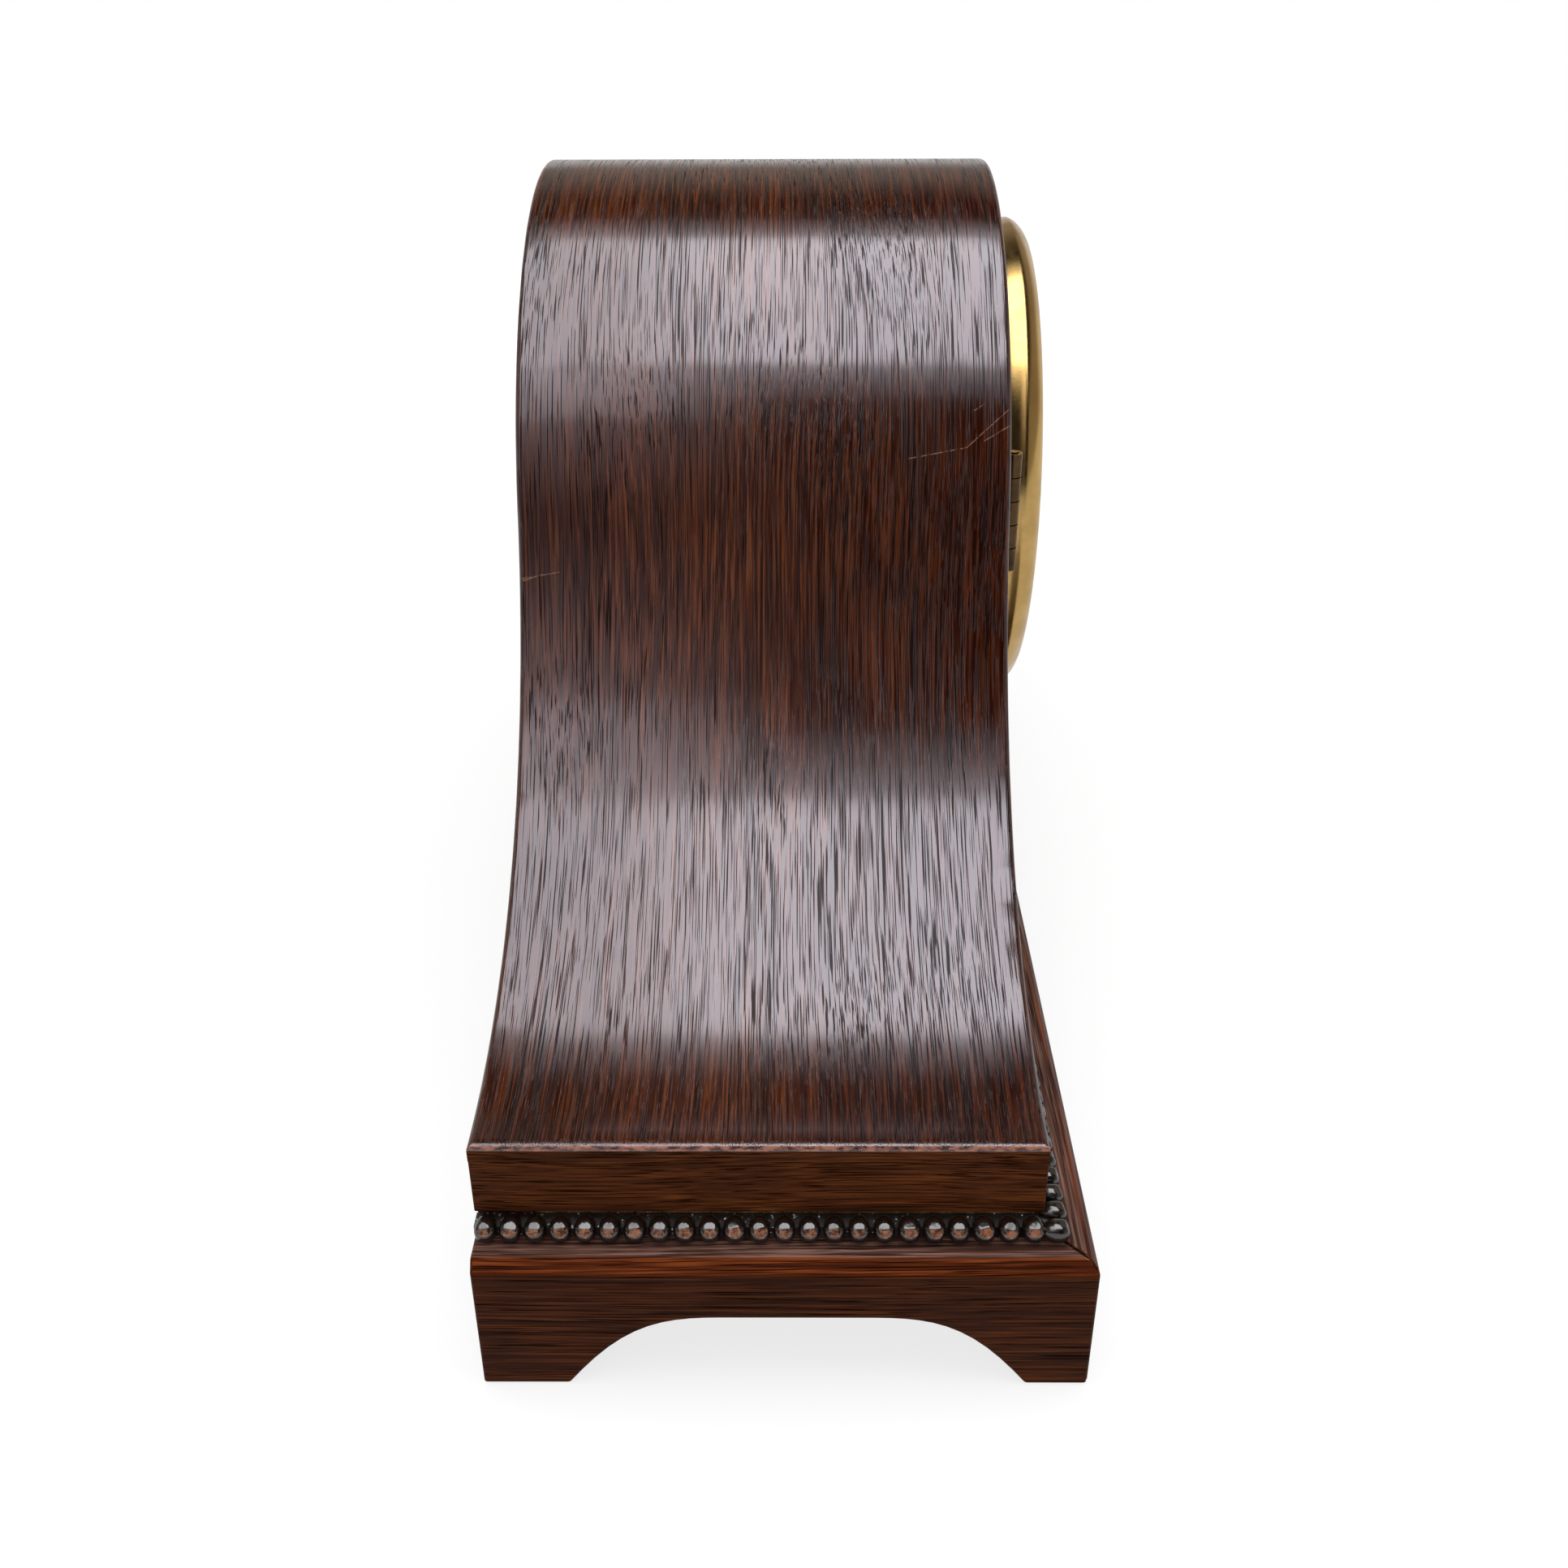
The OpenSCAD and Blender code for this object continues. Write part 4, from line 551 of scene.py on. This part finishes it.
# The rails run along y or x, and each has its own tones for its sides, its slope and its ledge
# The slope's tones carry painted light, the ledge's a painted sheen
for kind, tones in (("rail", RAIL_TONES), ("slope", SLOPE_PAINTED_LIGHT_TONES), ("ledge", LEDGE_PAINTED_SHEEN_TONES)):
    MATERIALS[kind + "_y"] = oak(kind + "_y", along("YXZ"), tones, **WAXED)
    MATERIALS[kind + "_x"] = oak(kind + "_x", along("XYZ"), tones, **WAXED)


# Mesh helpers

# Points closer than this are joined, and edges between faces that meet at less than this are dropped
WELD = 0.002 * MM
FLAT_ANGLE = math.radians(0.5)
# Faces whose normals rise by more than the first are slopes, by more than the second ledges
# On the rails, slopes take tones with painted light and ledges tones with a painted sheen
SLOPE_RISE, LEDGE_RISE = 0.3, 0.95
CREASE = 30
TURN_STEPS = 192
TURN_WELD = 0.001 * MM


def linked(name, mesh, materials):
    """Put a mesh with its materials into the scene."""
    piece = bpy.data.objects.new(name, mesh)
    bpy.context.scene.collection.objects.link(piece)
    for key in materials:
        mesh.materials.append(MATERIALS[key])
    return piece


def new_piece(name, mesh, node, materials):
    """Link a finished mesh as a piece that stands for a CAD node and rides on that node's body."""
    piece = linked(name, mesh, materials)
    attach(piece, BODY_OF[node])
    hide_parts(node)
    return piece


def cad_copy(node):
    """An editable copy of a CAD solid, with the triangles of its flat faces joined."""
    made = bmesh.new()
    made.from_mesh(frame["nodes"][node].data)
    bmesh.ops.remove_doubles(made, verts=made.verts, dist=WELD)
    bmesh.ops.dissolve_limit(made, angle_limit=FLAT_ANGLE, verts=made.verts, edges=made.edges)
    return made


def finished(name, made):
    """Turn an edited mesh into a stored one."""
    mesh = bpy.data.meshes.new(name)
    made.to_mesh(mesh)
    made.free()
    return mesh


def smooth(mesh, angle):
    """Smooth shading with creases where faces meet at more than the angle."""
    mesh.shade_smooth()
    mesh.set_sharp_from_angle(angle=math.radians(angle))


def round_edges(piece, width, segments, angle):
    """Round the edges where faces meet at more than the angle. The width is in millimetres."""
    rounding = piece.modifiers.new("rounded edges", "BEVEL")
    rounding.width = width * MM
    rounding.segments = segments
    rounding.limit_method = "ANGLE"
    rounding.angle_limit = math.radians(angle)
    rounding.harden_normals = True


def dressed(node, materials, bevel, segments=2):
    """A copy of a CAD solid with clean faces and rounded edges, which stands for that solid.
    The second material is for its slopes and the third for faces that look up, both painted light on the
    rails."""
    made = cad_copy(node)
    for face in made.faces:
        kind = (face.normal.z > SLOPE_RISE) + (face.normal.z > LEDGE_RISE)
        face.material_index = min(kind, len(materials) - 1)
    mesh = finished(node + "_finish", made)
    piece = new_piece(node + "_finish", mesh, node, materials)
    round_edges(piece, bevel, segments, CREASE)
    smooth(mesh, CREASE)


def turned(name, outline, node, materials):
    """Turn a closed outline of (radius, distance in front of the case) round the dial axis."""
    points, faces = [], []
    count = len(outline)
    for i in range(TURN_STEPS):
        a = 2 * math.pi * i / TURN_STEPS
        for r, out in outline:
            points.append((r * math.cos(a), Y_FACE - out, DIAL_Z + r * math.sin(a)))
    for i in range(TURN_STEPS):
        for k in range(count):
            a, b = i * count, (i + 1) % TURN_STEPS * count
            faces.append((a + k, a + (k + 1) % count, b + (k + 1) % count, b + k))
    mesh = bpy.data.meshes.new(name)
    mesh.from_pydata(points, [], faces)
    mesh.validate()
    cleaned = bmesh.new()
    cleaned.from_mesh(mesh)
    bmesh.ops.remove_doubles(cleaned, verts=cleaned.verts, dist=TURN_WELD)
    bmesh.ops.recalc_face_normals(cleaned, faces=cleaned.faces)
    cleaned.to_mesh(mesh)
    cleaned.free()
    smooth(mesh, 40)
    new_piece(name, mesh, node, materials)


# Case

STATIONS = 220
SKIN_STRIPS = 10
# Rounding of the skin's edges: its radius and points, and how deep its dents are, how fine, and how
# much more they go in than out
ARRIS_R = 1.2 * MM
ARRIS_POINTS = 6
DENT = 0.12 * MM
DENT_SCALE = 180
DENT_BIAS = 0.4
# How fast the ends look worn toward the edge, and how fast the grain runs where it is cut through
WEAR_GAIN = 2.5
CUT_GRAIN = 3


def profile():
    """Outer line of the case from the left brim to the right one, as (x, z, normal x, normal z, length)."""
    sweep_x = CASE_HALF - LIP_W
    drop = HEAD_Z - BRIM_Z
    sweep_r = (sweep_x ** 2 + drop ** 2 - HEAD_R ** 2) / (2 * (HEAD_R + drop))
    touch = math.atan2(sweep_x, sweep_r - drop)
    sweep = sweep_r * touch
    total = 2 * (LIP_W + sweep + HEAD_R * touch)
    ends = [ARRIS_R * k / ARRIS_POINTS for k in range(ARRIS_POINTS)]
    marks = set(ends + [total - e for e in ends] + [total * i / STATIONS for i in range(STATIONS + 1)])
    line = []
    for s in sorted(marks):
        side = -1 if s < total / 2 else 1
        d = min(s, total - s)
        if d <= LIP_W:
            a = 0
            x, z = CASE_HALF - d, BRIM_Z
        elif d <= LIP_W + sweep:
            a = (d - LIP_W) / sweep_r
            x, z = sweep_x - sweep_r * math.sin(a), BRIM_Z + sweep_r * (1 - math.cos(a))
        else:
            a = (total / 2 - d) / HEAD_R
            x, z = HEAD_R * math.sin(a), HEAD_Z + HEAD_R * math.cos(a)
        line.append((side * x, z, side * math.sin(a), math.cos(a), s))
    return line, total


def skin_section():
    """Section across the skin from its front edge to its rear one, as (y, depth below the outside)."""
    turns = [math.pi / 2 * (1 - k / (ARRIS_POINTS - 1)) for k in range(ARRIS_POINTS)]
    front = [(Y_FACE + ARRIS_R * (1 - math.sin(a)), ARRIS_R * (1 - math.cos(a))) for a in turns]
    level = Y_BACK - Y_FACE - 2 * ARRIS_R
    flat = [(Y_FACE + ARRIS_R + level * k / SKIN_STRIPS, 0) for k in range(1, SKIN_STRIPS)]
    back = [(Y_FACE + Y_BACK - y, inset) for y, inset in reversed(front)]
    return [(Y_FACE, SKIN_T)] + front + flat + back + [(Y_BACK, SKIN_T)]


def make_skin():
    """The bent skin, with rounded long edges and worn ends. It stores its own length for the grain."""
    line, total = profile()
    section = skin_section()
    points, grain, wear = [], [], []
    for x, z, nx, nz, s in line:
        end = min(s, total - s)
        dip = ARRIS_R - math.sqrt(max(0, ARRIS_R ** 2 - (ARRIS_R - end) ** 2)) if end < ARRIS_R else 0
        for y, inset in section:
            depth = inset if inset == SKIN_T else max(inset, dip)
            if depth < SKIN_T and (dip or inset):
                depth += DENT * (noise.noise(Vector((s, y, 0)) * DENT_SCALE) + DENT_BIAS)
            points.append((x - nx * depth, y, z - nz * depth))
            grain.append((s, y, depth * CUT_GRAIN))
            wear.append(min(1, WEAR_GAIN * dip / ARRIS_R))
    count = len(section)
    faces, slots = [], []
    for i in range(len(line) - 1):
        for k in range(count):
            a, b = i * count, (i + 1) * count
            k2 = (k + 1) % count
            faces.append((a + k, b + k, b + k2, a + k2))
            corner = max(wear[a + k], wear[a + k2], wear[b + k], wear[b + k2])
            slots.append(1 if corner > 0.5 and k != count - 1 else 0)
    faces.append(tuple(range(count)))
    faces.append(tuple(reversed(range((len(line) - 1) * count, len(line) * count))))
    slots += [2, 2]
    mesh = bpy.data.meshes.new("top_skin_veneer")
    mesh.from_pydata(points, [], faces)
    mesh.polygons.foreach_set("material_index", slots)
    stored = mesh.attributes.new("grain", "FLOAT_VECTOR", "POINT")
    stored.data.foreach_set("vector", [value for place in grain for value in place])
    smooth(mesh, 50)
    new_piece("top_skin_veneer", mesh, "top_skin", ["veneer", "veneer_worn", "skin_end"])


def make_case():
    make_skin()
    dressed("front_panel", ["panel"], bevel=0.4)
    dressed("back_panel", ["panel"], bevel=0.4)
    dressed("end_blocks", ["block"], bevel=0.3)
    dressed("rear_door", ["panel"], bevel=0.8)
    dressed("plinth_board", ["inside"], bevel=0.5)
    dressed("case_floor", ["inside"], bevel=0.4)


# Plinth

BEAD_PITCH = 5 * MM
# Half the width of a bead and how much it varies, in pitches
BEAD_WIDTH, BEAD_ODDNESS = 0.45, 0.03
# A bead is a ball of radius 1 made a little square by this power and deeper behind by this factor
BEAD_POWER = 0.88
BEAD_BACK = 1.55
# Its worn flats, as (slant in degrees, how much that varies, distance from the middle, scale of the
# noise). The last one looks forward and has lost its lacquer.
BEAD_FLATS = ((66, 14, 0.925, 700), (29, 0, 0.915, 900))
# How much the noise turns a flat aside and moves it
FLAT_TURN, FLAT_SHIFT = 0.25, 0.06
# Scales of the noises that vary the beads and roughen them, and how rough they are
ODD_SCALE = 400
GRIT_SCALE = 900
BEAD_GRIT = 0.1 * MM
# Faces within this cosine of a flat's facing belong to it
FLAT_COSINE = 0.97
BALL_SIDES, BALL_RINGS = 28, 20
# The bed: how far its face is behind the front of the beads, in half heights of a bead, and how far
# its top is below theirs
BED_INSET = 1.35
BED_DROP = 2.2 * MM
BED_WELD = 0.01 * MM


def unit_sphere():
    """Points and faces of a sphere of radius 1."""
    made = bmesh.new()
    bmesh.ops.create_uvsphere(made, u_segments=BALL_SIDES, v_segments=BALL_RINGS, radius=1)
    made.verts.index_update()
    points = [v.co.copy() for v in made.verts]
    faces = [[v.index for v in face.verts] for face in made.faces]
    made.free()
    return points, faces


def worn_flats(at, odd):
    """Facing and distance of the flats of the bead at a place, each a little different."""
    flats = []
    for slant, sway, reach, scale in BEAD_FLATS:
        turn = math.radians(slant + sway * odd)
        off = noise.noise(at * scale)
        facing = Vector((FLAT_TURN * off, math.cos(turn), math.sin(turn))).normalized()
        flats.append((facing, reach + FLAT_SHIFT * off))
    return flats


def bead_point(point, flats):
    """Where a point of the ball of radius 1 is on the bead."""
    p = Vector([math.copysign(abs(c) ** BEAD_POWER, c) for c in point])
    for facing, reach in flats:
        p -= facing * max(0, p.dot(facing) - reach)
    if p.y < 0:
        p.y *= BEAD_BACK
    return p


def bead_row(made, start, end, low, high, out):
    """Barrel beads from start to end. A bead's own axes run along the row, outward and up."""
    start, end, out = Vector(start), Vector(end), Vector(out)
    count = round((end - start).length / BEAD_PITCH)
    side = (end - start).normalized()
    tall = (high - low) / 2
    points, faces = unit_sphere()
    for i in range(count + 1):
        at = start + (end - start) * i / count
        odd = noise.noise(at * ODD_SCALE)
        wide = BEAD_PITCH * (BEAD_WIDTH + BEAD_ODDNESS * odd)
        flats = worn_flats(at, odd)
        bead = []
        for point in points:
            p = bead_point(point, flats)
            place = at + side * p.x * wide + out * p.y * tall + Vector((0, 0, p.z * tall))
            bead.append(made.verts.new(place + side * (BEAD_GRIT * noise.noise(place * GRIT_SCALE))))
        bare = flats[-1][0]
        bare = side * bare.x + out * bare.y + Vector((0, 0, bare.z))
        for corners in faces:
            face = made.faces.new([bead[k] for k in corners])
            face.normal_update()
            face.material_index = 1 if face.normal.dot(bare) > FLAT_COSINE else 0


def make_beads(name, node, rows):
    """A strip with its beads. The strip is cut back to a bed behind them."""
    low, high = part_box(node)
    made = cad_copy(node)
    tall = (high.z - low.z) / 2
    bed = BED_INSET * tall
    for v in made.verts:
        if node == "front_bead_strip":
            v.co.x = max(min(v.co.x, high.x - bed), low.x + bed)
        else:
            v.co.x = math.copysign(min(abs(v.co.x), high.x - bed), v.co.x)
        v.co.y = max(v.co.y, low.y + bed)
        v.co.z = min(v.co.z, high.z - BED_DROP)
    bmesh.ops.remove_doubles(made, verts=made.verts, dist=BED_WELD)
    bmesh.ops.dissolve_degenerate(made, dist=BED_WELD, edges=made.edges)
    for face in made.faces:
        face.material_index = 2
    for start, end, out in rows(low, high, tall):
        bead_row(made, start, end, low.z, high.z, out)
    mesh = finished(name, made)
    smooth(mesh, 50)
    new_piece(name, mesh, node, ["bead", "bead_facet", "bead_bed"])


def front_rows(low, high, tall):
    """Start, end and outward direction of the row at the front."""
    y, z = low.y + tall, (low.z + high.z) / 2
    yield (low.x + tall, y, z), (high.x - tall, y, z), (0, -1, 0)


def end_rows(low, high, tall):
    """The same for the rows at both ends, which begin one bead behind the front row."""
    z = (low.z + high.z) / 2
    for side in (-1, 1):
        x = side * (high.x - tall)
        yield (x, low.y + tall + BEAD_PITCH, z), (x, high.y - BEAD_PITCH / 2, z), (side, 0, 0)


def make_plinth():
    for node in ("left_rail", "right_rail"):
        dressed(node, ["rail_y", "slope_y", "ledge_y"], bevel=0.9, segments=3)
    for node, bevel in (("front_rail", 0.9), ("back_rail", 0.7)):
        dressed(node, ["rail_x", "slope_x", "ledge_x"], bevel, segments=3)
    make_beads("front_beads", "front_bead_strip", front_rows)
    make_beads("end_beads", "end_bead_strips", end_rows)


# Bezel, dial and glass

def make_bezel():
    """Turned brass ring: a flange, a hollowed wall, a rolled front edge, and the glass's seat inside."""
    wall = 2.8 * MM
    gap = 1.4 * MM
    chamfer = 0.3 * MM
    hollow = 0.25 * MM
    hollow_low = gap + 0.5 * MM
    hollow_step = 0.55 * MM
    steps = 8
    roll_low, roll_high = 6.3 * MM, 10.9 * MM
    roll_w = 5 * MM
    bend = 1.3
    lip_r = 56.2 * MM
    lip_t = 0.9 * MM
    lip_w = 0.8 * MM
    seat_r = 57.8 * MM
    seat_h = 1.9 * MM
    glass_out = 9.4 * MM
    foot = [(BEZEL_R - wall, gap), (BEZEL_R - chamfer, gap), (BEZEL_R, gap + chamfer)]
    side = [(BEZEL_R - hollow * math.sin(math.pi * k / steps), hollow_low + hollow_step * k)
            for k in range(steps + 1)]
    roll = []
    for degrees in range(0, 91, 5):
        a = math.radians(degrees)
        roll.append((BEZEL_R - roll_w + roll_w * math.cos(a) ** bend,
                     roll_low + (roll_high - roll_low) * math.sin(a) ** bend))
    lip = [(lip_r + lip_w, roll_high - chamfer), (lip_r, roll_high - lip_t), (lip_r, glass_out)]
    seat = [(seat_r, glass_out), (seat_r, glass_out - seat_h), (BEZEL_R - wall, glass_out - seat_h)]
    turned("bezel_ring_brass", foot + side + roll + lip + seat, "bezel_ring", ["brass"])


DIAL_OUT = 1.8 * MM
MARK_T = 0.05 * MM
# Minute track: its two lines, and the widths of its marks
TRACK_LINES = ((49.6 * MM, 49.9 * MM), (53.0 * MM, 53.3 * MM))
HOUR_MARK_W, MINUTE_MARK_W = 1.3 * MM, 0.35 * MM
NUMERAL_R = 42.5 * MM
NUMERAL_H = 10.5 * MM
# Height of a figure in the font, as a share of the font's size
FIGURE_SHARE = 0.7
# Winding holes, as the CAD model has them, and the brass rings round them and round the hands' pipe
HOLE_X, HOLE_DROP = 22 * MM, 10.782 * MM
GROMMET = (4.2 * MM, 5.3 * MM, 0.35 * MM)
PIPE_RING = (5 * MM, 6.2 * MM, 0.3 * MM)
GROMMET_STEPS = 48


def on_dial(made, points):
    """Add a thin mark on the dial. Points are (right, up) from the dial's centre."""
    front = [made.verts.new((x, Y_FACE - DIAL_OUT - MARK_T, DIAL_Z + z)) for x, z in points]
    back = [made.verts.new((x, Y_FACE - DIAL_OUT, DIAL_Z + z)) for x, z in points]
    made.faces.new(front)
    made.faces.new(list(reversed(back)))
    for i in range(len(points)):
        j = (i + 1) % len(points)
        made.faces.new((front[j], front[i], back[i], back[j]))


def dial_bar(made, angle, r0, r1, width):
    """A straight mark that points away from the centre."""
    a = math.radians(angle)
    out, side = Vector((math.sin(a), math.cos(a))), Vector((math.cos(a), -math.sin(a)))
    corners = ((r0, -width / 2), (r1, -width / 2), (r1, width / 2), (r0, width / 2))
    on_dial(made, [tuple(out * r + side * w) for r, w in corners])


def dial_ring(made, x, z, r0, r1, thick=MARK_T, steps=120):
    """A flat ring on the dial, with its middle at (x, z) from the dial's centre."""
    section = ((r0, DIAL_OUT), (r0, DIAL_OUT + thick), (r1, DIAL_OUT + thick), (r1, DIAL_OUT))
    rows = []
    for i in range(steps):
        a = 2 * math.pi * i / steps
        rows.append([made.verts.new((x + r * math.cos(a), Y_FACE - out, DIAL_Z + z + r * math.sin(a)))
                     for r, out in section])
    for i in range(steps):
        here, there = rows[i - 1], rows[i]
        for k in range(4):
            made.faces.new((here[k], here[k - 1], there[k - 1], there[k]))


def numeral(text):
    """Mesh of a number, flat and centred."""
    curve = bpy.data.curves.new("number", "FONT")
    curve.body = text
    curve.size = NUMERAL_H / FIGURE_SHARE
    curve.align_x = "CENTER"
    curve.align_y = "CENTER"
    curve.extrude = MARK_T / 2
    holder = bpy.data.objects.new("number", curve)
    mesh = bpy.data.meshes.new_from_object(holder)
    bpy.data.objects.remove(holder)
    bpy.data.curves.remove(curve)
    return mesh


def dial_piece(name, made, key):
    """Finish a mesh that lies on the dial and belongs to it."""
    bmesh.ops.recalc_face_normals(made, faces=made.faces)
    piece = linked(name, finished(name, made), [key])
    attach(piece, BODY_OF["dial_plate"])


def make_dial():
    """Plain numbers, a minute track and brass grommets round the winding holes."""
    made = bmesh.new()
    for r0, r1 in TRACK_LINES:
        dial_ring(made, 0, 0, r0, r1)
    inner, outer = TRACK_LINES
    for minute in range(60):
        wide = HOUR_MARK_W if minute % 5 == 0 else MINUTE_MARK_W
        dial_bar(made, 6 * minute, inner[1], outer[0], wide)
    y = Y_FACE - DIAL_OUT - MARK_T / 2
    for hour in range(1, 13):
        mesh = numeral(str(hour))
        a = math.radians(30 * hour)
        at = Vector((NUMERAL_R * math.sin(a), y, DIAL_Z + NUMERAL_R * math.cos(a)))
        mesh.transform(Matrix.Translation(at) @ Matrix.Rotation(math.pi / 2, 4, "X"))
        made.from_mesh(mesh)
        bpy.data.meshes.remove(mesh)
    dial_piece("dial_markings", made, "ink")
    made = bmesh.new()
    for side in (-1, 1):
        dial_ring(made, side * HOLE_X, -HOLE_DROP, *GROMMET, GROMMET_STEPS)
    dial_ring(made, 0, 0, *PIPE_RING, GROMMET_STEPS)
    dial_piece("dial_grommets", made, "brass")


def make_glass():
    """Domed glass with a flat edge under the lip."""
    low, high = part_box("bezel_glass")
    edge_r = high.x
    front = Y_FACE - low.y
    back = Y_FACE - high.y
    thick = 1.8 * MM
    dome_r = 55.9 * MM
    pole_r = 0.02 * MM
    edge_out = back + thick
    dome = front - edge_out
    steps = 24
    outer = [(dome_r * k / steps, edge_out + dome * (1 - (k / steps) ** 2)) for k in range(steps + 1)]
    outer[0] = (pole_r, outer[0][1])
    rim = [(edge_r, edge_out), (edge_r, back)]
    inner = [(r, out - thick) for r, out in reversed(outer)]
    turned("bezel_glass_dome", outer + rim + inner, "bezel_glass", ["glass"])


# CAD solids that keep their shape and only take a material and, some of them, rounded edges

CAD_MATERIALS = {
    "brass": ["dial_surround", "brass_screws", "turn_button", "hand_nut", "glass_retaining_ring"],
    "brass_dark": ["bezel_hinge_fixed_leaf", "bezel_hinge_moving_leaf", "hinge_pins",
                   "rear_hinge_fixed_leaves", "rear_hinge_door_leaves"],
    "brass_plate": ["front_plate", "back_plate", "plate_pillars", "pendulum_cock", "time_barrel",
                    "strike_barrel"],
    "brass_wheel": ["hour_wheel", "minute_wheel", "center_wheel", "third_wheel", "escape_wheel",
                    "pin_wheel", "warning_wheel", "strike_fly", "pendulum_bob", "rating_nut"],
    "steel": ["pillar_nuts", "movement_straps", "mounting_screws", "plinth_screws", "cannon_pinion",
              "time_winding_arbor", "strike_winding_arbor", "time_click", "strike_click", "anchor",
              "suspension_spring", "pendulum_rod", "front_hammer", "rear_hammer"],
    "steel_dark": ["gong_rods"],
    "iron": ["gong_block"],
    "blued": ["hour_hand", "minute_hand"],
    "dial": ["dial_plate"],
}
# Widths of the rounded edges, in millimetres
ROUNDED = {
    "bezel_hinge_fixed_leaf": 0.25, "bezel_hinge_moving_leaf": 0.25, "hinge_pins": 0.2,
    "rear_hinge_fixed_leaves": 0.25, "rear_hinge_door_leaves": 0.25, "turn_button": 0.4,
    "brass_screws": 0.12, "dial_surround": 0.2, "dial_plate": 0.2, "hand_nut": 0.2,
    "minute_hand": 0.12, "hour_hand": 0.12,
}


def dress_cad_solids():
    for key, nodes in CAD_MATERIALS.items():
        for node in nodes:
            piece = frame["nodes"][node]
            piece.data.materials.clear()
            piece.data.materials.append(MATERIALS[key])
            if node in ROUNDED:
                round_edges(piece, ROUNDED[node], segments=2, angle=40)


bpy.context.scene.view_settings.view_transform = "Standard"
make_camera()
make_studio()
make_case()
make_plinth()
make_bezel()
make_dial()
make_glass()
dress_cad_solids()
